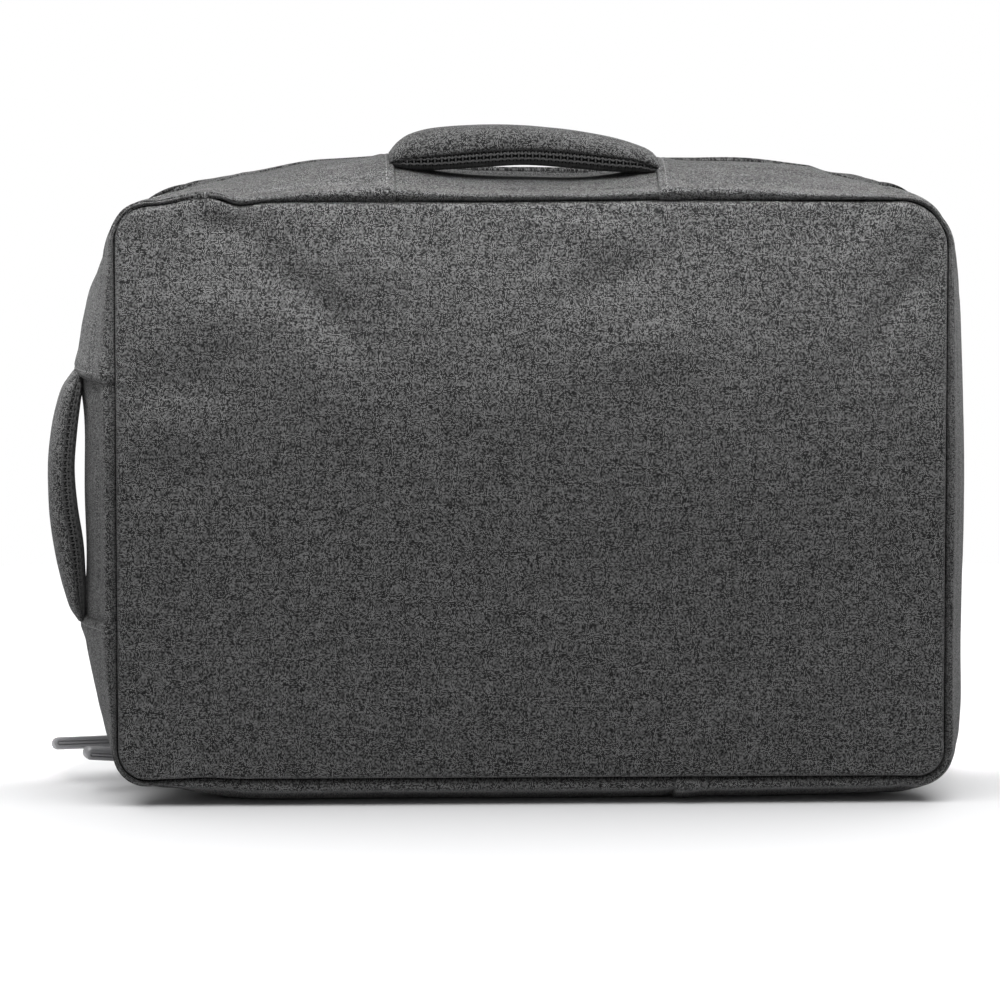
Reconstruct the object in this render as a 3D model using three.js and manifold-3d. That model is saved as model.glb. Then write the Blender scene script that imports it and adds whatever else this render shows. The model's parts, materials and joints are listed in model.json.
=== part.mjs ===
// A convertible backpack, closed and standing on its long side as a briefcase.
// Millimetres. X runs along the bag, Y from the worn back panel to the front panel, Z up from the floor.
import * as THREE from "three";
import { mergeVertices } from "three/addons/utils/BufferGeometryUtils.js";
import Module from "manifold-3d";

const wasm = await Module();
wasm.setup();

// Body sizes
const panelLength = 430;
const panelHeight = 300;
const floorRise = 14; // the back seam above the floor, along the bottom
const clothWall = 2.5; // padded polyester
const panelWall = 4; // foam-backed panels
const backCrown = 8;
const frontCrown = 11;
const edgeRoll = 2.2; // how far a panel's rolled edge stands proud of its seam
const seamGap = 0.3;
const gussetBulge = 24;
const frontCornerRadius = 22;
const cornerEase = 42; // how much rounder each stuffed corner is halfway between the panels
const lipForward = 4.5; // how strongly the gusset rolls over the seam
const lipWidth = 8;

// Depths across the gusset, from the back seam
const rearBand = 70;
const zipOpening = 12;
const middleBand = 16;
const frontBand = 20;
const mainZipFrom = rearBand;
const middleFrom = mainZipFrom + zipOpening;
const frontZipFrom = middleFrom + middleBand;
const frontFrom = frontZipFrom + zipOpening;
const bagDepth = frontFrom + frontBand;

// Zips
const tapeSink = 1;
const tapeWall = 1.4;
const coilWidth = 5.4;
const coilHeight = 2.3;

// Carrying handles and the bays that they span
const topBay = { side: "top", centre: -2.5, length: 141, hollow: 10.5 };
const sideBay = { side: "left", centre: -5, length: 130, hollow: 6.5 };
const handleDepth = 38; // the handle's middle, from the back seam
const handleWidth = 34;
const topHandleRise = 37.5;
const sideHandleRise = 36;
const handleClearance = 0.9; // over the bay, so that facets never meet
const bottomSeamX = 77;

// Sliders and pulls
const sliderLength = 11;
const sliderWidth = 8.8;
const plateThickness = 1.5;
const bridgeWidth = 1.8;
const bridgeThickness = 1.1;
const bridgeOpening = 3.2;
const bridgeLength = 8;
const linkWire = 0.7; // radius
const linkWidth = 7.4;
const linkReach = 11;
const gripStart = 6.5;
const gripLength = 33.5;
const gripWidth = 8;
const gripHeight = 6.4;

// How far each back corner is rounded, and how the gusset swells round the bag as shares of gussetBulge.
const cornerRadii = { upperRight: 24, lowerRight: 14, lowerLeft: 16, upperLeft: 20 };
const swells = [
  { side: "top", along: 0, swell: 0.37 },
  { side: "top", along: 0.14, swell: 0.65 },
  { side: "top", along: 0.3, swell: 0.84 },
  { side: "top", along: 0.5, swell: 0.85 },
  { side: "top", along: 0.7, swell: 0.73 },
  { side: "top", along: 0.86, swell: 0.68 },
  { side: "top", along: 1, swell: 0.44 },
  { side: "right", along: 0, swell: 0.4 },
  { side: "right", along: 0.5, swell: 0.53 },
  { side: "right", along: 1, swell: 0.46 },
  { side: "bottom", along: 0, swell: 0.62 },
  { side: "bottom", along: 0.15, swell: 0.66 },
  { side: "bottom", along: 0.85, swell: 0.68 },
  { side: "bottom", along: 1, swell: 0.66 },
  { side: "left", along: 0, swell: 0.67 },
  { side: "left", along: 0.18, swell: 0.86 },
  { side: "left", along: 0.5, swell: 0.95 },
  { side: "left", along: 0.88, swell: 0.82 },
  { side: "left", along: 1, swell: 0.7 },
];
const cornerSwells = { upperRight: 0.3, lowerRight: 0.55, lowerLeft: 0.28, upperLeft: 0.22 };

// Soft hollows and swells of the back panel: x, z and spread are shares of panelLength, out of backCrown.
const panelDents = [
  { x: -0.36, z: 0.27, spread: 0.05, out: -0.16 },
  { x: -0.27, z: 0.17, spread: 0.09, out: 0.2 },
  { x: -0.12, z: 0.24, spread: 0.06, out: -0.14 },
  { x: 0.04, z: 0.2, spread: 0.08, out: 0.14 },
  { x: 0.27, z: 0.26, spread: 0.07, out: 0.12 },
  { x: 0.39, z: 0.18, spread: 0.07, out: -0.22 },
];

const halfLength = panelLength / 2;
const cornerReach = Math.max(frontCornerRadius, ...Object.values(cornerRadii)) + cornerEase;
const bottomZ = floorRise;
const topZ = floorRise + panelHeight;
const middleZ = (bottomZ + topZ) / 2;

// The four sides, clockwise as seen from the back, each followed by its corner.
const sides = [
  { name: "top", from: [-halfLength, topZ], heading: [1, 0], length: panelLength, corner: "upperRight" },
  { name: "right", from: [halfLength, topZ], heading: [0, -1], length: panelHeight, corner: "lowerRight" },
  { name: "bottom", from: [halfLength, bottomZ], heading: [-1, 0], length: panelLength, corner: "lowerLeft" },
  { name: "left", from: [-halfLength, bottomZ], heading: [0, 1], length: panelHeight, corner: "upperLeft" },
];
const sideIndex = (name) => sides.findIndex((side) => side.name === name);
const outwardOf = ([x, z]) => [-z, x];

// A place round the bag is 2 * side + share on a straight, and one more on the corner after it.
const straightOf = (side) => side.length - 2 * cornerReach;

function placeOn(name, offset) {
  const index = sideIndex(name);
  const side = sides[index];
  const sign = side.heading[0] + side.heading[1];
  return 2 * index + 0.5 + (sign * offset) / straightOf(side);
}

// The corner's path at one depth, as far along each of its two sides as the roundest part reaches.
function cornerPoint(side, next, radius, share) {
  const flat = cornerReach - radius;
  const arc = (Math.PI / 2) * radius;
  const run = share * (2 * flat + arc);
  const tip = next.from;
  const start = [
    tip[0] - side.heading[0] * cornerReach,
    tip[1] - side.heading[1] * cornerReach,
  ];
  const turn = THREE.MathUtils.clamp((run - flat) / radius, 0, Math.PI / 2);
  const before = Math.min(run, flat);
  const after = Math.max(0, run - flat - arc);
  const ahead = before + radius * Math.sin(turn);
  const aside = radius * (1 - Math.cos(turn)) + after;
  const outward = outwardOf(side.heading);
  return {
    x: start[0] + side.heading[0] * ahead + next.heading[0] * aside,
    z: start[1] + side.heading[1] * ahead + next.heading[1] * aside,
    nx: outward[0] * Math.cos(turn) + side.heading[0] * Math.sin(turn),
    nz: outward[1] * Math.cos(turn) + side.heading[1] * Math.sin(turn),
  };
}

function outline(place, depth) {
  const wrapped = THREE.MathUtils.euclideanModulo(place, 8);
  const index = Math.floor(wrapped / 2);
  const share = wrapped - 2 * index;
  const side = sides[index];
  if (share > 1) {
    const across = depth / bagDepth;
    const seamed = THREE.MathUtils.lerp(cornerRadii[side.corner], frontCornerRadius, across);
    const radius = seamed + cornerEase * Math.sin(Math.PI * across) ** 2;
    return cornerPoint(side, sides[(index + 1) % 4], radius, share - 1);
  }
  const run = cornerReach + share * straightOf(side);
  const outward = outwardOf(side.heading);
  return {
    x: side.from[0] + side.heading[0] * run,
    z: side.from[1] + side.heading[1] * run,
    nx: outward[0],
    nz: outward[1],
  };
}

// Smooth closed curve through the swell rows.
const swellKnots = swells.map((row) => ({ place: 2 * sideIndex(row.side) + row.along, swell: row.swell }));
sides.forEach((side, index) => {
  swellKnots.push({ place: 2 * index + 1.5, swell: cornerSwells[side.corner] });
});
swellKnots.sort((a, b) => a.place - b.place);

function swellAt(place) {
  const wrapped = THREE.MathUtils.euclideanModulo(place, 8);
  const count = swellKnots.length;
  let after = swellKnots.findIndex((knot) => knot.place > wrapped);
  if (after < 0) after = count;
  const knot = (k) => {
    const row = swellKnots[THREE.MathUtils.euclideanModulo(k, count)];
    return { place: row.place + 8 * Math.floor(k / count), swell: row.swell };
  };
  const [a, b, c, d] = [knot(after - 2), knot(after - 1), knot(after), knot(after + 1)];
  const span = c.place - b.place;
  const t = (wrapped - b.place) / span;
  const leave = ((c.swell - a.swell) / (c.place - a.place)) * span;
  const arrive = ((d.swell - b.swell) / (d.place - b.place)) * span;
  const t2 = t * t;
  const t3 = t2 * t;
  return (
    (2 * t3 - 3 * t2 + 1) * b.swell + (t3 - 2 * t2 + t) * leave + (3 * t2 - 2 * t3) * c.swell + (t3 - t2) * arrive
  );
}

// The stuffed section: steep beside both seams and nearly flat between them.
function rounding(depth) {
  const across = Math.abs((2 * depth) / bagDepth - 1);
  return Math.max(0, 1 - across ** 3) ** 0.62;
}

const bell = (distance, spread) => Math.exp(-((distance / spread) ** 2));

// The hand's hollow under a handle.
function bayHollow(bay, place, depth) {
  const index = sideIndex(bay.side);
  const share = (place - placeOn(bay.side, bay.centre)) * straightOf(sides[index]);
  const along = Math.abs((2 * share) / bay.length);
  return along < 1 ? bay.hollow * (1 - along ** 3) * rounding(depth) : 0;
}

function rise(place, depth) {
  const wrapped = THREE.MathUtils.euclideanModulo(place, 8);
  const swell = gussetBulge * swellAt(wrapped) * rounding(depth);
  const hollow = bayHollow(topBay, wrapped, depth) + bayHollow(sideBay, wrapped, depth);
  return Math.max(0, swell - hollow);
}

// How far the section has turned from the seam's face, 0, to straight out, 1.
function turned(depth) {
  const fromSeam = Math.min(depth, bagDepth - depth);
  return THREE.MathUtils.clamp(fromSeam / (2 * lipWidth), 0, 1);
}

function lip(depth) {
  const roll = (d) => (d < lipWidth ? (4 * lipForward * d * (lipWidth - d)) / lipWidth ** 2 : 0);
  return roll(bagDepth - depth) - roll(depth);
}

// A point of the gusset, lifted off its outer face, or sunk with a negative lift.
function gussetPoint(place, depth, lift = 0) {
  const at = outline(place, depth);
  const angle = (turned(depth) * Math.PI) / 2;
  const facing = depth < bagDepth / 2 ? -1 : 1;
  const room = at.nz < 0 ? at.z / -at.nz : Infinity; // cloth is flattened where it meets the floor
  const out = Math.min(rise(place, depth), room) + lift * Math.sin(angle);
  const rolled = lift < 0 ? 0 : lip(depth);
  const y = -bagDepth / 2 + depth + rolled + facing * lift * Math.cos(angle);
  return new THREE.Vector3(at.x + at.nx * out, y, at.z + at.nz * out);
}

// Places round the bag where every piece has a section, so that neighbours' facets meet.
const seatHalf = (0.45 * sliderLength) / cornerReach;
const straightStep = 47;
const cornerShares = [0, 0.18, 0.35, 0.43, 0.5, 0.57, 0.65, 0.82];
const bayShares = [-0.5, -0.4, -0.25, 0, 0.25, 0.4, 0.5];

function sideStations(side, index) {
  const bay = [topBay, sideBay].find((row) => row.side === side.name);
  const count = Math.ceil(straightOf(side) / straightStep);
  const even = Array.from({ length: count }, (_, k) => 2 * index + k / count);
  const corner = cornerShares.map((share) => 2 * index + 1 + share);
  if (!bay) return [...even, ...corner];
  const inBay = bayShares.map((share) => placeOn(bay.side, bay.centre) + (share * bay.length) / straightOf(side));
  const outside = even.filter((place) => place < inBay[0] - 0.03 || place > inBay.at(-1) + 0.03);
  return [...outside, ...inBay, ...corner].sort((a, b) => a - b);
}

const stations = sides.flatMap(sideStations);

// Under a slider the strip is one flat facet.
function stationsBetween(from, to, park) {
  const margin = 0.02;
  const repeated = [-8, 0, 8].flatMap((turn) => stations.map((place) => place + turn));
  const inner = repeated.filter((place) => place > from + margin && place < to - margin);
  if (!park) return [from, ...inner, to];
  const clear = inner.filter((place) => Math.abs(place - park) > seatHalf + margin);
  return [from, ...clear, park - seatHalf, park + seatHalf, to].sort((a, b) => a - b);
}

// A closed body between two grids of points that share their rows and columns.
function shellBetween(over, under) {
  const rows = over.length;
  const columns = over[0].length;
  const positions = [...over.flat(), ...under.flat()].flatMap((p) => [p.x, p.y, p.z]);
  const indices = [];
  const quad = (a, b, c, d) => indices.push(a, b, c, a, c, d);
  const top = (i, j) => i * columns + j;
  const low = (i, j) => rows * columns + i * columns + j;
  for (let i = 0; i + 1 < rows; i++) {
    for (let j = 0; j + 1 < columns; j++) {
      quad(top(i, j), top(i + 1, j), top(i + 1, j + 1), top(i, j + 1));
      quad(low(i, j), low(i, j + 1), low(i + 1, j + 1), low(i + 1, j));
    }
    quad(top(i, 0), low(i, 0), low(i + 1, 0), top(i + 1, 0));
    quad(top(i, columns - 1), top(i + 1, columns - 1), low(i + 1, columns - 1), low(i, columns - 1));
  }
  for (let j = 0; j + 1 < columns; j++) {
    quad(top(0, j), top(0, j + 1), low(0, j + 1), low(0, j));
    quad(top(rows - 1, j), low(rows - 1, j), low(rows - 1, j + 1), top(rows - 1, j + 1));
  }
  const geometry = new THREE.BufferGeometry();
  geometry.setAttribute("position", new THREE.Float32BufferAttribute(positions, 3));
  geometry.setIndex(indices);
  geometry.computeVertexNormals();
  return geometry;
}

// A strip of the gusset from one place to another. Each row of its section has a depth and its lifts.
function strip(from, to, section, park) {
  const places = stationsBetween(from, to, park);
  const over = places.map((place) => section.map((row) => gussetPoint(place, row.depth, row.over)));
  const under = places.map((place) => section.map((row) => gussetPoint(place, row.depth, row.under)));
  return shellBetween(over, under);
}

const clothSection = (depths) => depths.map((depth) => ({ depth, over: 0, under: -clothWall }));

const halfGap = seamGap / 2;
const rearDepths = [0, 0.04, 0.11, 0.22, 0.4, 0.6, 0.8, 1].map((share) => share * (rearBand - halfGap));
const frontDepths = [0, 0.35, 0.65, 0.88, 1].map((share) =>
  THREE.MathUtils.lerp(frontFrom + halfGap, bagDepth, share),
);
const middleDepths = [middleFrom + halfGap, middleFrom + middleBand / 2, frontZipFrom - halfGap];

function bayEnds(bay) {
  const ends = [placeOn(bay.side, bay.centre - bay.length / 2), placeOn(bay.side, bay.centre + bay.length / 2)];
  return ends.sort((a, b) => a - b);
}

const [topBayStart, topBayEnd] = bayEnds(topBay);
const [sideBayStart, sideBayEnd] = bayEnds(sideBay);
const bottomSeam = placeOn("bottom", bottomSeamX);
const gapOn = (name) => halfGap / straightOf(sides[sideIndex(name)]);
const zipEnd = 0.8; // where the zips stop in each lower corner, as a share of the corner from its side
const zipStart = 5 + 1 - zipEnd;
const zipStop = 3 + zipEnd + 8;
const cornerGap = halfGap / cornerReach;

function zipTapeSection(depth) {
  const middle = depth + zipOpening / 2;
  const coilEdges = [middle - coilWidth / 2, middle + coilWidth / 2];
  const rows = [depth + halfGap, ...coilEdges, depth + zipOpening - halfGap];
  return rows.map((d) => ({ depth: d, over: -tapeSink, under: -tapeSink - tapeWall }));
}

function zipCoilSection(depth) {
  const seat = seamGap - tapeSink;
  const middle = depth + zipOpening / 2;
  const rows = [
    { across: -0.5, high: 0.35 },
    { across: -0.24, high: 0.9 },
    { across: 0.24, high: 0.9 },
    { across: 0.5, high: 0.35 },
  ];
  return rows.map(({ across, high }) => ({
    depth: middle + across * coilWidth,
    over: seat + high * coilHeight,
    under: seat,
  }));
}

// The bottom's front half, between the ends of the zips.
function bottomSection() {
  const opening = [rearBand + halfGap, middleFrom, middleFrom + middleBand / 2, frontZipFrom];
  return clothSection([...opening, ...frontDepths]);
}

// A crowned panel inside one seam. Facing is -1 for the worn back and 1 for the front.
function panel(facing, crown, dents) {
  const depth = facing < 0 ? 0 : bagDepth;
  const seamY = (facing * bagDepth) / 2;
  const rings = [
    { share: 1, roll: 0 },
    { share: 0.987, roll: 0.9 },
    { share: 0.95, roll: 1 },
    { share: 0.78, roll: 1 },
    { share: 0.45, roll: 1 },
  ];
  const faceY = (x, z, ring) => {
    let out = edgeRoll * ring.roll + crown * (1 - ring.share ** 2.4);
    for (const dent of dents) {
      const away = Math.hypot(x - dent.x * panelLength, z - middleZ - dent.z * panelLength);
      out += crown * dent.out * bell(away, dent.spread * panelLength) * ring.roll;
    }
    return out;
  };
  const points = [];
  for (const ring of rings) {
    for (const place of stations) {
      const at = outline(place, depth);
      const x = (at.x - at.nx * seamGap) * ring.share;
      const z = middleZ + (at.z - at.nz * seamGap - middleZ) * ring.share;
      points.push({ x, z, out: faceY(x, z, ring) });
    }
  }
  points.push({ x: 0, z: middleZ, out: faceY(0, middleZ, { share: 0, roll: 1 }) });
  const count = stations.length;
  const centre = points.length - 1;
  const faces = [];
  for (let k = 0; k < count; k++) {
    const next = (k + 1) % count;
    for (let ring = 0; ring + 1 < rings.length; ring++) {
      const [a, b] = [ring * count + k, ring * count + next];
      faces.push([a, b, b + count], [a, b + count, a + count]);
    }
    faces.push([(rings.length - 1) * count + k, (rings.length - 1) * count + next, centre]);
  }
  const inner = points.length;
  const positions = [];
  for (const p of points) positions.push(p.x, seamY + facing * p.out, p.z);
  for (const p of points) positions.push(p.x, seamY + facing * (p.out - panelWall), p.z);
  const indices = [];
  const add = (a, b, c) => (facing < 0 ? indices.push(a, c, b) : indices.push(a, b, c));
  for (const [a, b, c] of faces) {
    add(a, b, c);
    add(inner + a, inner + c, inner + b);
  }
  for (let k = 0; k < count; k++) {
    const next = (k + 1) % count;
    add(k, inner + k, inner + next);
    add(k, inner + next, next);
  }
  const geometry = new THREE.BufferGeometry();
  geometry.setAttribute("position", new THREE.Float32BufferAttribute(positions, 3));
  geometry.setIndex(indices);
  geometry.computeVertexNormals();
  return geometry;
}

// A handle's outline by section: along is a share of its bay, heights are shares of its rise above the seam line.
const topHandleRows = [
  { along: -0.495, under: 0.5, parting: 0.56, over: 0.6, width: 0.8 },
  { along: -0.47, under: 0.45, parting: 0.57, over: 0.74, width: 0.9 },
  { along: -0.42, under: 0.42, parting: 0.59, over: 0.87, width: 0.97 },
  { along: -0.32, under: 0.4, parting: 0.62, over: 0.96, width: 1 },
  { along: -0.16, under: 0.43, parting: 0.68, over: 1, width: 1 },
  { along: 0, under: 0.46, parting: 0.7, over: 0.99, width: 1 },
  { along: 0.16, under: 0.42, parting: 0.67, over: 0.93, width: 1 },
  { along: 0.31, under: 0.39, parting: 0.61, over: 0.82, width: 1 },
  { along: 0.42, under: 0.41, parting: 0.54, over: 0.68, width: 0.95 },
  { along: 0.495, under: 0.44, parting: 0.48, over: 0.52, width: 0.8 },
];
const sideHandleRows = [
  { along: -0.495, under: 0.49, parting: 0.53, over: 0.58, width: 0.8 },
  { along: -0.44, under: 0.46, parting: 0.56, over: 0.66, width: 0.9 },
  { along: -0.34, under: 0.48, parting: 0.63, over: 0.8, width: 1 },
  { along: -0.2, under: 0.5, parting: 0.7, over: 0.92, width: 1 },
  { along: -0.05, under: 0.58, parting: 0.78, over: 0.99, width: 1 },
  { along: 0.1, under: 0.62, parting: 0.81, over: 1, width: 1 },
  { along: 0.25, under: 0.58, parting: 0.76, over: 0.95, width: 1 },
  { along: 0.38, under: 0.52, parting: 0.69, over: 0.84, width: 1 },
  { along: 0.45, under: 0.5, parting: 0.62, over: 0.74, width: 0.9 },
  { along: 0.495, under: 0.53, parting: 0.57, over: 0.61, width: 0.8 },
];

// Half of a handle: the cloth cover above its parting line, or the mesh pad below it.
function handleHalf(bay, rows, handleRise, isCover) {
  const shares = [-1, -0.9, -0.66, -0.35, 0, 0.35, 0.66, 0.9, 1];
  const straight = straightOf(sides[sideIndex(bay.side)]);
  const cap = isCover ? 1 : -1;
  const flat = [];
  const domed = [];
  for (const row of rows) {
    const place = placeOn(bay.side, bay.centre) + (row.along * bay.length) / straight;
    const at = outline(place, handleDepth);
    const halfWidth = (row.width * handleWidth) / 2;
    const clearOf = (share) => rise(place, handleDepth + share * halfWidth) + handleClearance;
    const floor = Math.max(...shares.map(clearOf));
    const parting = Math.max(row.parting * handleRise, floor + seamGap + clothWall / 2);
    const limit = isCover ? Math.max(row.over * handleRise, parting + clothWall) : row.under * handleRise;
    const pointAt = (share, out) => {
      const y = handleDepth - bagDepth / 2 + share * halfWidth;
      return new THREE.Vector3(at.x + at.nx * out, y, at.z + at.nz * out);
    };
    const edge = parting + cap * halfGap;
    flat.push(shares.map((share) => pointAt(share, edge)));
    domed.push(
      shares.map((share) => {
        const dome = (1 - Math.abs(share) ** 2.6) ** 0.55;
        const out = edge + (limit - edge) * (0.12 + 0.88 * dome);
        return pointAt(share, isCover ? out : Math.max(out, Math.min(clearOf(share), edge - halfGap)));
      }),
    );
  }
  return isCover ? shellBetween(domed, flat) : shellBetween(flat, domed);
}

// manifold-3d joins and cuts the hard pieces.
function toSolid(geometry) {
  const bare = geometry.clone();
  bare.deleteAttribute("normal");
  bare.deleteAttribute("uv");
  const merged = mergeVertices(bare, 1e-4);
  const vertProperties = new Float32Array(merged.attributes.position.array);
  const triVerts = new Uint32Array(merged.index.array);
  return new wasm.Manifold(new wasm.Mesh({ numProp: 3, vertProperties, triVerts }));
}

function toGeometry(solid) {
  const { vertProperties, triVerts } = solid.getMesh();
  const geometry = new THREE.BufferGeometry();
  geometry.setAttribute("position", new THREE.Float32BufferAttribute(vertProperties, 3));
  geometry.setIndex(Array.from(triVerts));
  geometry.computeVertexNormals();
  return geometry;
}

const boxAt = (size, centre) => new THREE.BoxGeometry(...size).translate(...centre);

// A slider stands with its zip along X, its width along Y and its height over the coil along Z.
const plateBottom = seamGap - tapeSink + coilHeight + seamGap;
const plateTop = plateBottom + plateThickness;
const pivotHeight = plateTop + bridgeOpening / 2;

function slider() {
  const plan = new THREE.Shape();
  const half = sliderWidth / 2;
  plan.moveTo(-sliderLength / 2, -half * 0.55);
  plan.lineTo(-sliderLength * 0.1, -half);
  plan.lineTo(sliderLength * 0.32, -half);
  plan.quadraticCurveTo(sliderLength / 2, -half, sliderLength / 2, 0);
  plan.quadraticCurveTo(sliderLength / 2, half, sliderLength * 0.32, half);
  plan.lineTo(-sliderLength * 0.1, half);
  plan.lineTo(-sliderLength / 2, half * 0.55);
  plan.closePath();
  const body = new THREE.ExtrudeGeometry(plan, { depth: plateTop + tapeSink - seamGap, bevelEnabled: false, curveSegments: 4 });
  body.translate(0, 0, seamGap - tapeSink);
  const channel = boxAt([2 * sliderLength, coilWidth + 2 * seamGap, 2 * plateBottom], [0, 0, 0]);
  const side = new THREE.Shape();
  const reach = bridgeLength / 2;
  const top = bridgeOpening + bridgeThickness;
  side.moveTo(-reach, -plateThickness / 2);
  side.lineTo(reach, -plateThickness / 2);
  side.lineTo(reach, top * 0.6);
  side.lineTo(reach * 0.6, top);
  side.lineTo(-reach * 0.6, top);
  side.lineTo(-reach, top * 0.6);
  side.closePath();
  const opening = new THREE.Path();
  const inside = reach - bridgeThickness;
  opening.moveTo(-inside, 0);
  opening.lineTo(-inside, bridgeOpening * 0.65);
  opening.lineTo(-inside * 0.6, bridgeOpening);
  opening.lineTo(inside * 0.6, bridgeOpening);
  opening.lineTo(inside, bridgeOpening * 0.65);
  opening.lineTo(inside, 0);
  opening.closePath();
  side.holes.push(opening);
  const bridge = new THREE.ExtrudeGeometry(side, { depth: bridgeWidth, bevelEnabled: false });
  bridge.rotateX(Math.PI / 2).translate(0, bridgeWidth / 2, plateTop);
  return toGeometry(toSolid(body).subtract(toSolid(channel)).add(toSolid(bridge)));
}

// The pull's wire link turns about Y at the origin, and its grip lies along X.
function pullLink() {
  const half = linkWidth / 2 - linkWire;
  const thick = 2 * linkWire;
  const bar = new THREE.CylinderGeometry(linkWire, linkWire, linkWidth, 8);
  const legs = [-half, half].map((y) => boxAt([linkReach, thick, thick], [linkReach / 2, y, 0]));
  return toGeometry(toSolid(bar).add(toSolid(legs[0])).add(toSolid(legs[1])));
}

function pullGrip() {
  const half = gripWidth / 2;
  const end = gripStart + gripLength;
  const section = [
    { height: -0.5, inset: 0.28 },
    { height: -0.36, inset: 0.08 },
    { height: 0, inset: 0 },
    { height: 0.36, inset: 0.08 },
    { height: 0.5, inset: 0.28 },
  ];
  const rings = section.map(({ height, inset }) => {
    const shrink = inset * half;
    const plan = new THREE.Shape();
    plan.moveTo(gripStart + shrink, -half + shrink);
    plan.lineTo(end - half, -half + shrink);
    plan.absarc(end - half, 0, half - shrink, -Math.PI / 2, Math.PI / 2, false);
    plan.lineTo(gripStart + shrink, half - shrink);
    return plan.getPoints(6).map((p) => new THREE.Vector3(p.x, p.y, height * gripHeight));
  });
  const positions = rings.flat().flatMap((p) => [p.x, p.y, p.z]);
  const count = rings[0].length;
  const indices = [];
  for (let ring = 0; ring + 1 < rings.length; ring++) {
    for (let k = 0; k < count; k++) {
      const [a, b] = [ring * count + k, ring * count + ((k + 1) % count)];
      indices.push(a, b, b + count, a, b + count, a + count);
    }
  }
  const last = (rings.length - 1) * count;
  for (let k = 1; k + 1 < count; k++) indices.push(0, k + 1, k, last, last + k, last + k + 1);
  const grip = new THREE.BufferGeometry();
  grip.setAttribute("position", new THREE.Float32BufferAttribute(positions, 3));
  grip.setIndex(indices);
  const socket = 2 * (linkWire + seamGap);
  const legY = linkWidth / 2 - linkWire;
  const depth = linkReach + seamGap;
  let solid = toSolid(grip);
  for (const y of [-legY, legY]) solid = solid.subtract(toSolid(boxAt([depth, socket, socket], [depth / 2, y, 0])));
  return toGeometry(solid);
}

// Materials
const cloth = new THREE.MeshStandardMaterial({ color: "#474749", roughness: 0.9 });
const meshCloth = new THREE.MeshStandardMaterial({ color: "#303032", roughness: 0.95 });
const tape = new THREE.MeshStandardMaterial({ color: "#2c2c2e", roughness: 0.9 });
const nylon = new THREE.MeshStandardMaterial({ color: "#222224", roughness: 0.5 });
const metal = new THREE.MeshStandardMaterial({ color: "#45464a", roughness: 0.35, metalness: 1 });
const rubber = new THREE.MeshStandardMaterial({ color: "#4c4c4e", roughness: 0.45 });

const bag = new THREE.Group();

function addTo(group, name, geometry, material) {
  const mesh = new THREE.Mesh(geometry, material);
  mesh.name = name;
  group.add(mesh);
  return mesh;
}

addTo(bag, "back_panel", panel(-1, backCrown, panelDents), cloth);
addTo(bag, "front_panel", panel(1, frontCrown, []), cloth);

const rearPieces = [
  { name: "rear_gusset_top_bay", from: topBayStart + gapOn("top"), to: topBayEnd - gapOn("top") },
  { name: "rear_gusset_right", from: topBayEnd + gapOn("top"), to: bottomSeam - gapOn("bottom") },
  { name: "rear_gusset_lower_left", from: bottomSeam + gapOn("bottom"), to: sideBayStart - gapOn("left") },
  { name: "rear_gusset_side_bay", from: sideBayStart + gapOn("left"), to: sideBayEnd - gapOn("left") },
  { name: "rear_gusset_upper_left", from: sideBayEnd + gapOn("left"), to: topBayStart + 8 - gapOn("top") },
];
for (const piece of rearPieces) {
  addTo(bag, piece.name, strip(piece.from, piece.to, clothSection(rearDepths)), cloth);
}
addTo(bag, "middle_gusset", strip(zipStart, zipStop, clothSection(middleDepths)), cloth);
addTo(bag, "front_gusset", strip(zipStart, zipStop, clothSection(frontDepths)), cloth);
addTo(bag, "bottom_gusset", strip(zipStop - 8 + cornerGap, zipStart - cornerGap, bottomSection()), cloth);

// Each zip: tape, coil, slider and pull. Park is the slider's place in the lower left corner.
const zips = [
  { name: "main_zip", depth: mainZipFrom, park: 5.405, turn: -20, pitch: 6.5 },
  { name: "front_zip", depth: frontZipFrom, park: 5.515, turn: 0, pitch: 0 },
];
for (const zip of zips) {
  addTo(bag, `${zip.name}_tape`, strip(zipStart, zipStop, zipTapeSection(zip.depth), zip.park), tape);
  addTo(bag, `${zip.name}_coil`, strip(zipStart, zipStop, zipCoilSection(zip.depth), zip.park), nylon);
  const depth = zip.depth + zipOpening / 2;
  const [start, end] = [zip.park - seatHalf, zip.park + seatHalf];
  const seat = gussetPoint(start, depth).lerp(gussetPoint(end, depth), 0.5);
  const ahead = gussetPoint(end, depth).sub(gussetPoint(start, depth)).normalize();
  const over = gussetPoint(zip.park, depth + coilWidth / 2).sub(gussetPoint(zip.park, depth - coilWidth / 2));
  const outward = new THREE.Vector3().crossVectors(ahead, over).normalize();
  const across = new THREE.Vector3().crossVectors(outward, ahead);
  const sliderFrame = new THREE.Group();
  sliderFrame.position.copy(seat);
  sliderFrame.quaternion.setFromRotationMatrix(new THREE.Matrix4().makeBasis(ahead, across, outward));
  addTo(sliderFrame, `${zip.name}_slider`, slider(), metal);
  const pullFrame = new THREE.Group();
  pullFrame.position.copy(seat).addScaledVector(outward, pivotHeight);
  const hinge = across.clone().applyAxisAngle(outward, THREE.MathUtils.degToRad(zip.turn));
  const lie = new THREE.Vector3(0, 0, 1).cross(hinge).normalize();
  lie.applyAxisAngle(hinge, THREE.MathUtils.degToRad(zip.pitch));
  const side = new THREE.Vector3().crossVectors(lie, hinge);
  pullFrame.quaternion.setFromRotationMatrix(new THREE.Matrix4().makeBasis(lie, hinge, side));
  addTo(pullFrame, `${zip.name}_pull_link`, pullLink(), metal);
  addTo(pullFrame, `${zip.name}_pull_grip`, pullGrip(), rubber);
  bag.add(sliderFrame, pullFrame);
}

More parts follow.
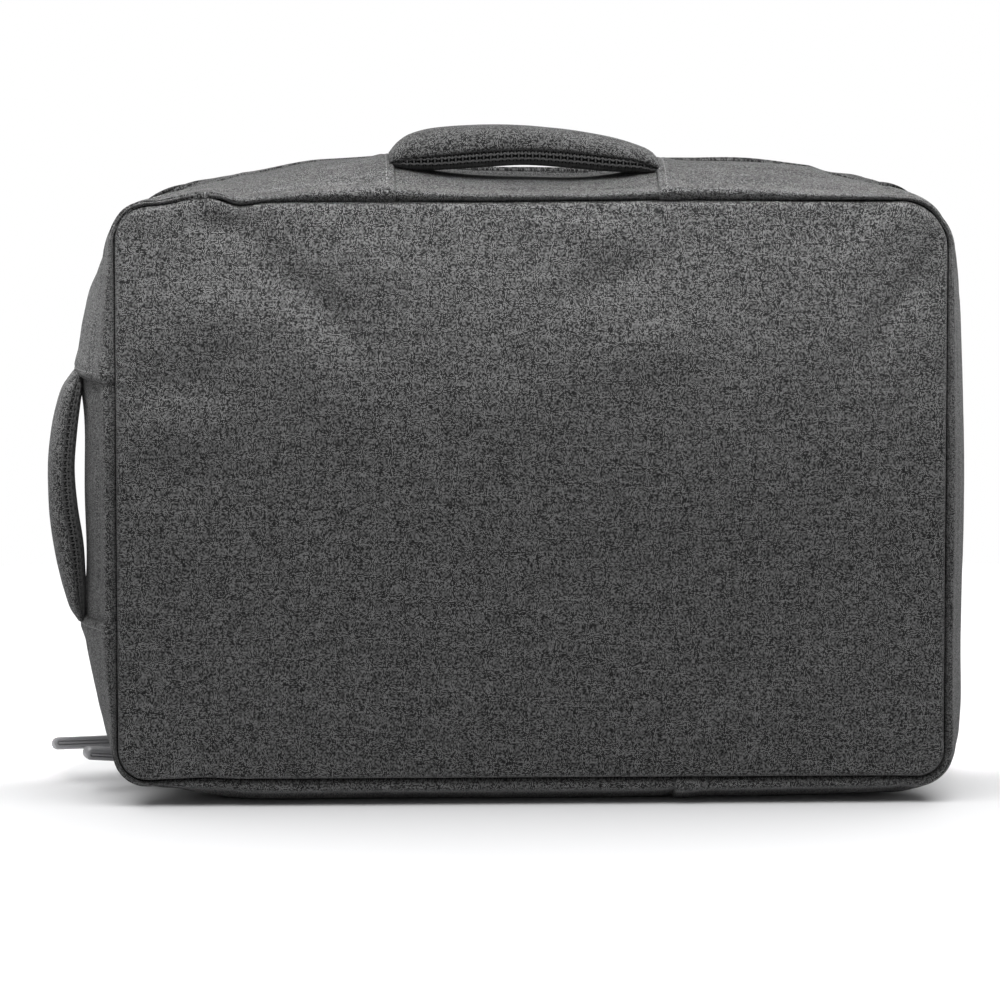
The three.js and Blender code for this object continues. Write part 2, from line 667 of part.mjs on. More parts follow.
addTo(bag, "top_handle_cover", handleHalf(topBay, topHandleRows, topHandleRise, true), cloth);
addTo(bag, "top_handle_mesh", handleHalf(topBay, topHandleRows, topHandleRise, false), meshCloth);
addTo(bag, "side_handle_cover", handleHalf(sideBay, sideHandleRows, sideHandleRise, true), cloth);
addTo(bag, "side_handle_mesh", handleHalf(sideBay, sideHandleRows, sideHandleRise, false), meshCloth);

export default bag;
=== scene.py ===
"""Looks of a closed convertible backpack that stands on its long side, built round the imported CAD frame."""

import bisect
import functools
import json
import math

import bmesh
import bpy
from mathutils import Matrix, Vector, noise


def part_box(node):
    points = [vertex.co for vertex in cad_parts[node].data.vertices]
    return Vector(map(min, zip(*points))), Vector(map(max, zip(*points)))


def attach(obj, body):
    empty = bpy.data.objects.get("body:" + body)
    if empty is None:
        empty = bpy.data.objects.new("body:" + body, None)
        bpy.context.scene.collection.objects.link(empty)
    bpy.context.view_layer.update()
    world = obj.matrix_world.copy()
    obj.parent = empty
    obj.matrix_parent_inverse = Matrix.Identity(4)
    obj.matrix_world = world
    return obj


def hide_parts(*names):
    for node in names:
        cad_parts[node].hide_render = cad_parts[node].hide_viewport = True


bl_info = {
    "name": "Convertible Backpack",
    "version": (1, 0, 0),
    "blender": (4, 5, 0),
    "location": "View3D > Sidebar > Backpack",
    "description": "Builds the cloth, handles, zips and pulls of a convertible backpack",
    "category": "Object",
}

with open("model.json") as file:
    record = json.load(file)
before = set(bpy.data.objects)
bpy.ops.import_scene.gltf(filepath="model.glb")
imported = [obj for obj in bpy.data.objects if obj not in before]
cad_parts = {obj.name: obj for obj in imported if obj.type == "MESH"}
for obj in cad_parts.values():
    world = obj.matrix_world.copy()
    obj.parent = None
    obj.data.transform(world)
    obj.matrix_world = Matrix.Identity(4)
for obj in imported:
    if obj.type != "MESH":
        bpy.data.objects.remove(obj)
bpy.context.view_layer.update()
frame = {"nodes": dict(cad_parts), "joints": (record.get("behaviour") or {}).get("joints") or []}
MM = 0.001

# Body sizes in millimetres, the same as the solids'
PANEL_LENGTH = 430
PANEL_HEIGHT = 300
FLOOR_RISE = 14
GUSSET_BULGE = 24
FRONT_CORNERS = {"upper_right": 24, "lower_right": 22, "lower_left": 22, "upper_left": 40}
CORNER_EASE = 42
CORNER_RADII = {"upper_right": 24, "lower_right": 14, "lower_left": 16, "upper_left": 20}
BACK_CROWN = 8
FRONT_CROWN = 11
EDGE_ROLL = 2.2
LIP_FORWARD = 4.5
LIP_WIDTH = 8
REAR_BAND = 70
ZIP_OPENING = 12
MIDDLE_BAND = 16
FRONT_BAND = 20
MAIN_ZIP = REAR_BAND
MIDDLE_FROM = MAIN_ZIP + ZIP_OPENING
FRONT_ZIP = MIDDLE_FROM + MIDDLE_BAND
FRONT_FROM = FRONT_ZIP + ZIP_OPENING
BAG_DEPTH = FRONT_FROM + FRONT_BAND
TAPE_SINK = 1.0
ZIP_VALLEY = 2.4
COIL_WIDTH = 5.4
COIL_HEIGHT = 2.3
ZIP_END = 0.8
HANDLE_DEPTH = 38
HANDLE_WIDTH = 34
BOTTOM_SEAM_X = 77

# Cloth, seam and zip details, in millimetres
CLOTH_WALL = 1.8
PANEL_WALL = 2.4
TAPE_WALL = 0.9
PANEL_CELLS = (220, 156)
GUSSET_CELL = 1.7
SEAM_LAP = 3.0
LAP_LIFT = 1.5
EDGE_TURN = 2.2
STITCH_SIZE = (2.5, 0.62, 0.5)
SEAM_STITCH_INSET = 1.6
ZIP_STITCH_INSET = 2.6
TAPE_UNDER = 1.5
COIL_PITCH = 1.9
COIL_ZIGZAG = 0.55
GRIP_WIDTH = 8
GRIP_HEIGHT = 6.6
GRIP_FACET = 1.9
MESH_PITCH = 3.6
MESH_ROWS = 24
MESH_THREAD = 0.32
MESH_DEPTH = 1.5
COVER_CELLS = (70, 44)

HALF = PANEL_LENGTH / 2
BOTTOM_Z = FLOOR_RISE
TOP_Z = FLOOR_RISE + PANEL_HEIGHT
MIDDLE_Z = (BOTTOM_Z + TOP_Z) / 2
CORNER_REACH = max(CORNER_RADII.values()) + CORNER_EASE

# A place round the bag runs from 0 to 8, two to a side: 0 to 1 on its straight and 1 to 2 on its corner
TURN = 8
PLACE_SPAN = 105
ZIP_START = 6 - ZIP_END
ZIP_STOP = 3 + ZIP_END + TURN

# The four sides, clockwise as seen from the back: name, start, heading, length and the corner that follows
SIDES = (
    ("top", (-HALF, TOP_Z), (1, 0), PANEL_LENGTH, "upper_right"),
    ("right", (HALF, TOP_Z), (0, -1), PANEL_HEIGHT, "lower_right"),
    ("bottom", (HALF, BOTTOM_Z), (-1, 0), PANEL_LENGTH, "lower_left"),
    ("left", (-HALF, BOTTOM_Z), (0, 1), PANEL_HEIGHT, "upper_left"),
)
SIDE_INDEX = {side[0]: index for index, side in enumerate(SIDES)}

# How far the gusset swells round the bag, as shares of GUSSET_BULGE: side, share along it, swell
SWELLS = (
    ("top", 0, 0.37), ("top", 0.14, 0.65), ("top", 0.3, 0.84), ("top", 0.5, 0.85),
    ("top", 0.7, 0.73), ("top", 0.86, 0.68), ("top", 1, 0.44),
    ("right", 0, 0.4), ("right", 0.5, 0.53), ("right", 1, 0.46),
    ("bottom", 0, 0.62), ("bottom", 0.15, 0.66), ("bottom", 0.85, 0.68), ("bottom", 1, 0.66),
    ("left", 0, 0.67), ("left", 0.18, 0.86), ("left", 0.5, 0.95), ("left", 0.88, 0.82), ("left", 1, 0.7),
)
CORNER_SWELLS = {"upper_right": 0.3, "lower_right": 0.55, "lower_left": 0.28, "upper_left": 0.22}

# The bays that the handles span: side, centre along it, length and the hand's hollow
TOP_BAY = ("top", -2.5, 141, 10.5)
SIDE_BAY = ("left", -5, 130, 6.5)

# Handle sections: share along the bay, heights of the underside, the parting line and the crown as shares
# of the handle's rise, and width as a share of HANDLE_WIDTH
TOP_HANDLE_RISE = 37.5
TOP_HANDLE = (
    (-0.5, 0.46, 0.5, 0.62, 0.76), (-0.47, 0.42, 0.53, 0.76, 0.9), (-0.42, 0.39, 0.57, 0.88, 0.98),
    (-0.32, 0.385, 0.61, 0.96, 1), (-0.16, 0.42, 0.67, 1, 1), (0, 0.45, 0.69, 0.99, 1),
    (0.16, 0.41, 0.66, 0.93, 1), (0.31, 0.36, 0.59, 0.83, 1), (0.42, 0.34, 0.52, 0.71, 0.98),
    (0.47, 0.32, 0.45, 0.62, 0.9), (0.5, 0.34, 0.39, 0.49, 0.76),
)
SIDE_HANDLE_RISE = 36
SIDE_HANDLE = (
    (-0.5, 0.48, 0.52, 0.58, 0.74), (-0.46, 0.46, 0.55, 0.68, 0.86), (-0.4, 0.46, 0.59, 0.76, 0.98),
    (-0.34, 0.47, 0.61, 0.82, 1), (-0.2, 0.5, 0.68, 0.93, 1), (-0.05, 0.58, 0.76, 0.99, 1),
    (0.1, 0.62, 0.79, 1, 1), (0.25, 0.58, 0.74, 0.95, 1), (0.38, 0.52, 0.67, 0.85, 1),
    (0.45, 0.48, 0.6, 0.76, 0.94), (0.5, 0.49, 0.55, 0.63, 0.76),
)

# Soft hollows and swells of the back panel, in millimetres and degrees:
# x, height, spread along, spread aside, out, turn
PANEL_DENTS = (
    (-160, 302, 14, 9, -3.2, 20),
    (-160, 256, 26, 16, 4.4, 14),
    (-182, 220, 26, 11, -4.8, 6),
    (-184, 199, 22, 9, 2.4, 6),
    (-182, 172, 28, 10, -4.2, 4),
    (-113, 264, 36, 11, -7.0, 44),
    (-108, 222, 38, 17, 3.4, 42),
    (-84, 286, 26, 12, 3.0, 40),
    (-24, 208, 24, 11, 2.8, 0),
    (43, 275, 28, 10, -4.6, -24),
    (53, 236, 34, 14, 4.0, -10),
    (20, 300, 30, 8, 1.6, 10),
    (198, 270, 40, 10, -7.0, -50),
    (172, 290, 34, 11, 3.2, -50),
    (150, 236, 40, 13, 2.2, -40),
    (201, 226, 30, 7, -2.8, -84),
    (60, 120, 90, 20, -1.6, 3),
    (-120, 110, 70, 24, 1.4, 0),
    (140, 60, 50, 13, 2.0, -24),
    (-30, 50, 90, 10, 1.6, 0),
)

# Creases that run from the seam into the gusset: place round the bag, depth, width along, reach, lean
CREASES = (
    (7.86, -2.6, 3, 12, -0.5),
    (7.94, 1.2, 5, 14, 0),
    (0.04, -2.3, 5, 20, 0.35),
    (0.2, -0.9, 7, 30, -0.3),
    (7.46, -1.8, 4, 18, 0.2),
    (7.66, -1.3, 5, 26, -0.3),
    (1.36, -1.9, 4, 24, -0.5),
    (1.52, -1.6, 4, 20, 0.4),
    (1.68, -1.4, 4, 22, 0.5),
    (3.42, -1.6, 4, 18, -0.4),
    (3.62, -1.8, 4, 20, 0.4),
    (5.36, -1.7, 4, 20, -0.4),
    (5.56, -1.5, 4, 16, 0.3),
    (5.1, -1.2, 7, 20, -0.4),
)

# Where the gusset hangs slack or stands proud: place round the bag, spread, out
SLACK = (
    (7.2, 0.12, 1.4),
    (7.45, 0.2, -6),
    (8.08, 0.1, 1.5),
    (0.98, 0.09, 2.8),
    (1.4, 0.12, -3.2),
    (3.4, 0.3, -0.8),
)

# Where the back seam is pulled out of line, in millimetres: x, z, spread, out
SEAM_WAVES = (
    (-169, 314, 13, 3.2),
    (-196, 310, 12, -1.8),
    (-150, 314, 9, -2.2),
    (-204, 306, 7, 0.9),
    (205, 300, 9, -1.2),
    (-203, 22, 9, 1.0),
    (-170, 14, 12, -0.9),
    (204, 24, 10, 0.9),
    (60, 314, 60, 0.5),
)

# The groove round a low rib on each side of a grip, in steps inward over its face: width, out
GRIP_STEPS = ((0.25, 0), (0.12, -0.8), (0.42, 0), (0.12, 0.7))


def clamp(value, low, high):
    """The value, or the nearer limit when it lies outside them."""
    return max(low, min(high, value))


def ease(low, high, value):
    """A smooth step from 0 at low to 1 at high."""
    share = clamp((value - low) / (high - low), 0, 1)
    return share * share * (3 - 2 * share)


def bell(distance, spread):
    """A bell curve of height 1."""
    return math.exp(-((distance / spread) ** 2))


def smooth_curve(b, c, leave, arrive, t):
    """A cubic from b to c that leaves and arrives at the given slopes."""
    t2, t3 = t * t, t * t * t
    return (2 * t3 - 3 * t2 + 1) * b + (t3 - 2 * t2 + t) * leave + (3 * t2 - 2 * t3) * c + (t3 - t2) * arrive


def straight_of(index):
    """The length of a side between its corners."""
    return SIDES[index][3] - 2 * CORNER_REACH


def place_on(name, offset):
    """The place round the bag that is a signed distance along a side from its middle."""
    index = SIDE_INDEX[name]
    heading = SIDES[index][2]
    return 2 * index + 0.5 + (heading[0] + heading[1]) * offset / straight_of(index)


def corner_point(index, radius, share):
    """A point and its outward direction on the corner after a side."""
    heading = SIDES[index][2]
    tip, onward = SIDES[(index + 1) % 4][1:3]
    flat = CORNER_REACH - radius
    arc = math.pi / 2 * radius
    run = share * (2 * flat + arc)
    turn = clamp((run - flat) / radius, 0, math.pi / 2)
    ahead = min(run, flat) + radius * math.sin(turn) - CORNER_REACH
    aside = radius * (1 - math.cos(turn)) + max(0, run - flat - arc)
    outward = (-heading[1], heading[0])
    x = tip[0] + heading[0] * ahead + onward[0] * aside
    z = tip[1] + heading[1] * ahead + onward[1] * aside
    nx = outward[0] * math.cos(turn) + heading[0] * math.sin(turn)
    nz = outward[1] * math.cos(turn) + heading[1] * math.sin(turn)
    return x, z, nx, nz


@functools.lru_cache(maxsize=None)
def outline(place, depth):
    """The bag's outline at one depth: x, z and the outward direction."""
    wrapped = place % TURN
    index = int(wrapped // 2)
    share = wrapped - 2 * index
    _, start, heading, _, corner = SIDES[index]
    if share > 1:
        across = depth / BAG_DEPTH
        seamed = CORNER_RADII[corner] * (1 - across) + FRONT_CORNERS[corner] * across
        radius = min(CORNER_REACH, seamed + CORNER_EASE * math.sin(math.pi * clamp(across, 0, 1)) ** 2)
        return corner_point(index, radius, share - 1)
    run = CORNER_REACH + share * straight_of(index)
    return start[0] + heading[0] * run, start[1] + heading[1] * run, -heading[1], heading[0]


def swell_knots():
    """Place and swell of every row of the two swell tables, in order round the bag."""
    knots = [(2 * SIDE_INDEX[name] + along, swell) for name, along, swell in SWELLS]
    knots += [(2 * index + 1.5, CORNER_SWELLS[side[4]]) for index, side in enumerate(SIDES)]
    return sorted(knots)


KNOTS = swell_knots()


@functools.lru_cache(maxsize=None)
def swell_at(place):
    """A smooth closed curve through the swells."""
    wrapped = place % TURN
    count = len(KNOTS)
    after = next((k for k, knot in enumerate(KNOTS) if knot[0] > wrapped), count)
    near = []
    for k in range(after - 2, after + 2):
        there, swell = KNOTS[k % count]
        near.append((there + TURN * (k // count), swell))
    (pa, a), (pb, b), (pc, c), (pd, d) = near
    span = pc - pb
    t = (wrapped - pb) / span
    leave = (c - a) / (pc - pa) * span
    arrive = (d - b) / (pd - pb) * span
    return smooth_curve(b, c, leave, arrive, t)


@functools.lru_cache(maxsize=None)
def rounding(depth):
    """How full the gusset's section is at a depth, from 0 at the seams to 1."""
    across = abs(2 * depth / BAG_DEPTH - 1)
    return max(0, 1 - across**3) ** 0.62


def bay_share(bay, place):
    """How far a place is along a bay, from -0.5 to 0.5."""
    name, centre, length, _ = bay
    index = SIDE_INDEX[name]
    return (place % TURN - place_on(name, centre)) * straight_of(index) / length


def bay_hollow(bay, place, depth):
    """How deep the hand's hollow is at a point; it fades past the main zip."""
    along = abs(2 * bay_share(bay, place))
    kept = 1 - 0.24 * ease(REAR_BAND - 12, REAR_BAND + 8, depth)
    return bay[3] * (1 - along**3) * rounding(depth) * kept if along < 1 else 0


@functools.lru_cache(maxsize=None)
def slack_at(place):
    """How far the gusset hangs slack or stands proud at a place."""
    half = TURN / 2
    return sum(out * bell((place - there + half) % TURN - half, spread) for there, spread, out in SLACK)


@functools.lru_cache(maxsize=None)
def rise(place, depth):
    """How far the gusset stands out of the seams' outline."""
    swell = GUSSET_BULGE * swell_at(place) * rounding(depth) + slack_at(place) * ease(8, 50, depth)
    return max(0, swell - bay_hollow(TOP_BAY, place, depth) - bay_hollow(SIDE_BAY, place, depth))


def lip(depth):
    """How far the gusset's edges roll over the panels' planes."""

    def roll(d):
        return 4 * LIP_FORWARD * d * (LIP_WIDTH - d) / LIP_WIDTH**2 if d < LIP_WIDTH else 0

    return roll(BAG_DEPTH - depth) - roll(depth)


@functools.lru_cache(maxsize=None)
def seam_shift(place):
    """How far the back seam is pulled out of line at a place."""
    x, z, _, _ = outline(place, 0)
    return wave_at(x, z)


def wave_at(x, z):
    """The sum of the seam's waves at a point of the panel's plane."""
    return sum(out * bell(math.hypot(x - wx, z - wz), spread) for wx, wz, spread, out in SEAM_WAVES)


def gusset_point(place, depth, lift=0.0):
    """A point of the gusset's outer face, lifted off it."""
    x, z, nx, nz = outline(place, depth)
    drawn = seam_shift(place) * math.exp(-depth / 9)
    x, z = x + nx * drawn, z + nz * drawn
    from_seam = min(depth, BAG_DEPTH - depth)
    angle = clamp(from_seam / (2 * LIP_WIDTH), 0, 1) * math.pi / 2
    facing = -1 if depth < BAG_DEPTH / 2 else 1
    room = z / -nz if nz < 0 else math.inf
    out = min(rise(place, depth) + lift * math.sin(angle), room)
    y = -BAG_DEPTH / 2 + depth + lip(depth) + facing * lift * math.cos(angle)
    return Vector((x + nx * out, y, z + nz * out))


def place_lengths(step=0.02):
    """Distance round the bag at the handle's depth, for cloth coordinates that follow the surface."""
    table, total = [0.0], 0.0
    last = gusset_point(0, HANDLE_DEPTH)
    for k in range(1, int(round(TURN / step)) + 1):
        here = gusset_point(k * step, HANDLE_DEPTH)
        total += (here - last).length
        last = here
        table.append(total)
    return table, step


LENGTHS, LENGTH_STEP = place_lengths()
AROUND = LENGTHS[-1]


@functools.lru_cache(maxsize=None)
def length_at(place):
    """The distance round the bag of a place."""
    turns, wrapped = divmod(place, TURN)
    position = wrapped / LENGTH_STEP
    k = min(int(position), len(LENGTHS) - 2)
    return turns * AROUND + LENGTHS[k] + (LENGTHS[k + 1] - LENGTHS[k]) * (position - k)


@functools.lru_cache(maxsize=None)
def place_at(length):
    """The place round the bag at a distance round it."""
    low, high = 0.0, 2.0 * TURN
    for _ in range(40):
        middle = (low + high) / 2
        low, high = (middle, high) if length_at(middle) < length else (low, middle)
    return low


def section_lengths():
    """Distance over the gusset from the back seam, every half millimetre of depth."""
    table, total = [0.0], 0.0
    last = Vector((0, 0))
    for k in range(1, BAG_DEPTH * 2 + 1):
        depth = k / 2
        here = Vector((depth + lip(depth), GUSSET_BULGE * 0.7 * rounding(depth)))
        total += (here - last).length
        last = here
        table.append(total)
    return table


SECTION = section_lengths()


def section_at(depth):
    """The distance over the gusset at a depth."""
    position = clamp(depth, 0, BAG_DEPTH) * 2
    k = min(int(position), len(SECTION) - 2)
    return SECTION[k] + (SECTION[k + 1] - SECTION[k]) * (position - k)


def ripple(u, v, seed):
    """Smooth noise, about -0.5 to 0.5."""
    return noise.noise(Vector((u, v, seed)))


def cloth_fold(place, depth):
    """Folds and puckers of the stuffed gusset, in millimetres."""
    along = length_at(place)
    near_seam = math.exp(-depth / 14)
    from_zip = ease(0, 8, abs(depth - REAR_BAND))
    out = 0.9 * ripple(along / 55, depth / 24, 1) * ease(0, 18, depth)
    out += 0.55 * ripple(along / 85, depth / 8, 4) * ease(2, 14, depth) * from_zip
    out += 0.45 * ripple(along / 9, 0.3, 7) * near_seam
    out += 1.3 * bell(depth - HANDLE_DEPTH, 16) * (1 - bell(abs(place % TURN - 0.5), 0.22))
    for there, deep, width, reach, lean in CREASES:
        away = (place % TURN - there) * PLACE_SPAN - lean * depth
        if abs(away) < 4 * width:
            out += deep * bell(away, width) * math.exp(-depth / reach) * ease(0, 3, depth)
    return out


# Mesh making

def mesh_from(name, bm):
    """Turns a bmesh into a mesh and frees it."""
    mesh = bpy.data.meshes.new(name)
    bm.to_mesh(mesh)
    bm.free()
    return mesh


def new_object(name, bm, smooth=True):
    """Links a bmesh to the scene as an object."""
    mesh = mesh_from(name, bm)
    for face in mesh.polygons:
        face.use_smooth = smooth
    obj = bpy.data.objects.new(name, mesh)
    bpy.context.scene.collection.objects.link(obj)
    return obj


def shaped_grid(across, up, shape, cloth_uv, cells=False):
    """A bmesh grid whose vertices and cloth coordinates are set from shares 0 to 1 along its two sides."""
    bm = bmesh.new()
    layer = bm.loops.layers.uv.new("cloth")
    bmesh.ops.create_grid(bm, x_segments=across, y_segments=up, size=1)
    if cells:
        staggered(bm, across, up)
    shares = {v: ((v.co.x + 1) / 2, (v.co.y + 1) / 2) for v in bm.verts}
    for face in bm.faces:
        for loop in face.loops:
            loop[layer].uv = Vector(cloth_uv(*shares[loop.vert])) * MM
    for vert, share in shares.items():
        vert.co = shape(*share) * MM
    bm.normal_update()
    return bm


def thicken(obj, thickness=CLOTH_WALL):
    """Gives a sheet its thickness, inward."""
    wall = obj.modifiers.new("Cloth thickness", "SOLIDIFY")
    wall.thickness = thickness * MM
    wall.offset = -1


def finish_piece(obj, body, slot_name, material, *nodes):
    """Gives a piece its material and its body, and hides the solids that it stands for. The slot name is not
    used.
    """
    obj.data.materials.clear()
    obj.data.materials.append(material)
    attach(obj, body)
    if nodes:
        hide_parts(*nodes)


def strip_rows(start, stop, dense_start, dense_stop):
    """A mapping from share to depth, closer together at the ends that turn in."""

    def depth_of(share):
        if dense_start:
            share = share**1.5
        if dense_stop:
            share = 1 - (1 - share) ** 1.3
        return start + (stop - start) * share

    return depth_of


def edge_drop(distance, deep, width):
    """How far a rolled cloth edge turns in, by the distance from its edge."""
    if distance >= width:
        return 0
    return -deep * (1 - math.sqrt(max(0, 1 - (1 - distance / width) ** 2)))


def zip_edge(distance, place):
    """The turned edge, the stitches' groove and the raised fold of the cloth along a zip."""
    groove = 0.3 * bell(distance - ZIP_STITCH_INSET, 0.8)
    return edge_drop(distance, 1 + zip_sink(place), 2) - groove + 0.9 * bell(distance, 4)


def gusset_strip(name, start, stop, depths, ends):
    """A band of the gusset. Ends say whether each cross seam laps over, 1, or goes under, -1."""
    low, high = depths
    first = place_at(length_at(start) - (SEAM_LAP if ends[0] > 0 else -0.2))
    last = place_at(length_at(stop) + (SEAM_LAP if ends[1] > 0 else -0.2))
    run = length_at(last) - length_at(first)
    depth_of = strip_rows(low, high, low == 0, high == BAG_DEPTH)

    def lift_at(place, depth):
        lift = cloth_fold(place, depth)
        for end, limit in ((ends[0], first), (ends[1], last)):
            away = abs(length_at(place) - length_at(limit))
            if end > 0:
                lift += LAP_LIFT * (1 - ease(5, 16, away)) + edge_drop(away, EDGE_TURN, 1.6)
                lift -= 0.45 * bell(away - SEAM_LAP - SEAM_STITCH_INSET, 0.9)
            if end < 0:
                lift -= 0.9 * (1 - ease(2, 12, away))
        if low > 0:
            lift += zip_edge(depth - low, place)
        if high < BAG_DEPTH:
            lift += zip_edge(high - depth, place)
        return lift

    def shape(s, t):
        place, depth = place_at(length_at(first) + s * run), depth_of(t)
        point = gusset_point(place, depth, lift_at(place, depth))
        if depth < 2.5:
            point.y += 3 * math.exp(-depth)
        if depth > BAG_DEPTH - 2.5:
            point.y -= 3 * math.exp(depth - BAG_DEPTH)
        return point

    def cloth_uv(s, t):
        return length_at(first) + s * run, section_at(depth_of(t))

    across = max(4, round(run / GUSSET_CELL))
    up = max(4, round((high - low) / GUSSET_CELL))
    obj = new_object(name, shaped_grid(across, up, shape, cloth_uv))
    thicken(obj)
    return obj


def panel_edge(u, v, depth):
    """The rounded rectangle's point for a point of the square."""
    ring = max(abs(u), abs(v))
    x, z = u * HALF, v * PANEL_HEIGHT / 2
    if ring == 0:
        return x, z + MIDDLE_Z
    corners = CORNER_RADII if depth == 0 else FRONT_CORNERS
    radius = corners[("upper_" if v > 0 else "lower_") + ("right" if u > 0 else "left")]
    bx, bz = abs(u) / ring * HALF, abs(v) / ring * PANEL_HEIGHT / 2
    cx, cz = HALF - radius, PANEL_HEIGHT / 2 - radius
    dx, dz = bx - cx, bz - cz
    if dx > 0 and dz > 0:
        # the square's edge is laid along the arc
        turn = math.atan2(dz, dx)
        px, pz = cx + radius * math.cos(turn), cz + radius * math.sin(turn)
        pull = ring**14
        x += math.copysign(1, u) * (px - bx) * pull
        z += math.copysign(1, v) * (pz - bz) * pull
    if depth == 0:
        nx, nz = u**9, v**9
        drawn = wave_at(x, z + MIDDLE_Z) * ring**10 / max(1e-9, math.hypot(nx, nz))
        x, z = x + nx * drawn, z + nz * drawn
    return x, z + MIDDLE_Z


def gathered(share):
    """Shares drawn towards both ends, where a panel's edge rolls."""
    t = 2 * share - 1
    return t + 0.72 * math.sin(math.pi * t) / math.pi


def panel_out(x, z, u, v, crown, dents):
    """How far a panel stands out of its seam's plane."""
    edge = min((1 - abs(u)) * HALF, (1 - abs(v)) * PANEL_HEIGHT / 2)
    roll = math.sqrt(max(0, 1 - (1 - clamp(edge / 3.2, 0, 1)) ** 2))
    out = EDGE_ROLL * roll - 3 * math.exp(-edge)
    round_ring = (abs(u) ** 4 + abs(v) ** 4) ** 0.25
    out += crown * (1 - min(1, round_ring) ** 2.4)
    inner = ease(0, 22, edge)
    out += 0.8 * ripple(x / 70, z / 38, 3) * inner + 0.22 * ripple(x / 16, z / 11, 9) * inner
    out += 0.4 * ripple((x + z) / 11, 0.4, 12) * math.exp(-edge / 9) * ease(0, 2, edge)
    for dx, dz, wide, tall, deep, turn in dents:
        angle = math.radians(turn)
        ax, az = x - dx, z - dz
        along = ax * math.cos(angle) - az * math.sin(angle)
        aside = ax * math.sin(angle) + az * math.cos(angle)
        out += deep * bell(along, wide) * bell(aside, tall) * ease(0, 14, edge)
    return out


def panel_cloth(name, facing, crown, dents):
    """A padded panel that faces the back, -1, or the front, 1."""
    depth = 0 if facing < 0 else BAG_DEPTH

    def shape(s, t):
        u, v = gathered(s) * -facing, gathered(t)
        x, z = panel_edge(u * 0.999, v * 0.999, depth)
        return Vector((x, facing * (BAG_DEPTH / 2 + panel_out(x, z, u, v, crown, dents)), z))

    def cloth_uv(s, t):
        return gathered(s) * HALF, gathered(t) * PANEL_HEIGHT / 2

    obj = new_object(name, shaped_grid(*PANEL_CELLS, shape, cloth_uv))
    thicken(obj, PANEL_WALL)
    return obj


def between(rows, share):
    """Smooth values between a table's rows."""
    k = next((i for i in range(1, len(rows)) if rows[i][0] >= share), len(rows) - 1)
    a, b = rows[max(0, k - 2)], rows[k - 1]
    c, d = rows[k], rows[min(len(rows) - 1, k + 1)]
    span = c[0] - b[0]
    t = clamp((share - b[0]) / span, 0, 1)
    values = []
    for i in range(1, len(b)):
        leave = (c[i] - a[i]) / (c[0] - a[0]) * span
        arrive = (d[i] - b[i]) / (d[0] - b[0]) * span
        values.append(smooth_curve(b[i], c[i], leave, arrive, t))
    return values


def handle_section(bay, rows, handle_rise, along):
    """The path point of a handle and its heights and half width there."""
    name, centre, length, _ = bay
    index = SIDE_INDEX[name]
    place = place_on(name, centre) + along * length / straight_of(index)
    x, z, nx, nz = outline(place, HANDLE_DEPTH)
    *heights, width = between(rows, along)
    under, parting, over = (height * handle_rise for height in heights)
    return (x, z, nx, nz), under, parting, over, width * HANDLE_WIDTH / 2


def handle_tube(bay, rows, handle_rise, is_cover, along_cells, around_cells):
    """The cloth cover or the mesh pad of a handle, as a closed tube."""
    length = bay[2]

    def drawn(along, turn):
        """Across and outward at one angle round the handle."""
        _, under, parting, over, half = handle_section(bay, rows, handle_rise, along)
        side, high = math.cos(turn), math.sin(turn)
        square, wide = (0.72, 1) if is_cover else (0.4, 0.96)
        across = math.copysign(abs(side) ** square, side) * half * wide
        if is_cover:
            top = (over - parting) * abs(high) ** 0.8
            out = parting + (top if high > 0 else -1.2 * abs(high))
            crease = ripple(along * 2.2, across / 7, 5) * 0.9 + ripple(along * 7, across / 4, 8) * 0.35
            return across, out + crease * max(0, high) * ease(0.5, 0.42, abs(along))
        low = (parting - under) * abs(high) ** 0.85
        return across, parting + (-low if high < 0 else 0.8 * high)

    @functools.lru_cache(maxsize=None)
    def ring(along):
        """The section's points at even distances round it."""
        fine = [Vector(drawn(along, 2 * math.pi * k / 240)) for k in range(241)]
        reach = [0.0]
        for a, b in zip(fine, fine[1:]):
            reach.append(reach[-1] + (b - a).length)
        return fine, reach

    def shape(s, t):
        along = s - 0.5
        x, z, nx, nz = handle_section(bay, rows, handle_rise, along)[0]
        fine, reach = ring(along)
        wanted = clamp(t, 0, 1) * reach[-1]
        k = min(bisect.bisect_right(reach, wanted), len(reach) - 1)
        share = (wanted - reach[k - 1]) / max(1e-9, reach[k] - reach[k - 1])
        across, out = fine[k - 1].lerp(fine[k], share)
        return Vector((x + nx * out, -BAG_DEPTH / 2 + HANDLE_DEPTH + across, z + nz * out))

    def cloth_uv(s, t):
        return s * length, t * 2.4 * HANDLE_WIDTH

    bm = shaped_grid(along_cells, around_cells, shape, cloth_uv, cells=not is_cover)
    bmesh.ops.remove_doubles(bm, verts=bm.verts, dist=1e-5)
    edges = [edge for edge in bm.edges if edge.is_boundary]
    bmesh.ops.holes_fill(bm, edges=edges, sides=0)
    bmesh.ops.recalc_face_normals(bm, faces=bm.faces)
    return bm


def staggered(bm, across, up):
    """Joins a flat grid's cells two by two, half a cell further along in each row: they become six-sided."""
    doomed = []
    for edge in bm.edges:
        a, b = edge.verts
        if abs(a.co.x - b.co.x) < 1e-6:
            column = round((a.co.x + 1) / 2 * across)
            row = round((min(a.co.y, b.co.y) + 1) / 2 * up)
            if (column + row) % 2 and 0 < column < across:
                doomed.append(edge)
    for vert in bm.verts:
        column, row = round((vert.co.x + 1) / 2 * across), round((vert.co.y + 1) / 2 * up)
        vert.co.y += (0.42 if (column + row) % 2 else -0.42) / up
    bmesh.ops.dissolve_edges(bm, edges=doomed, use_verts=False)


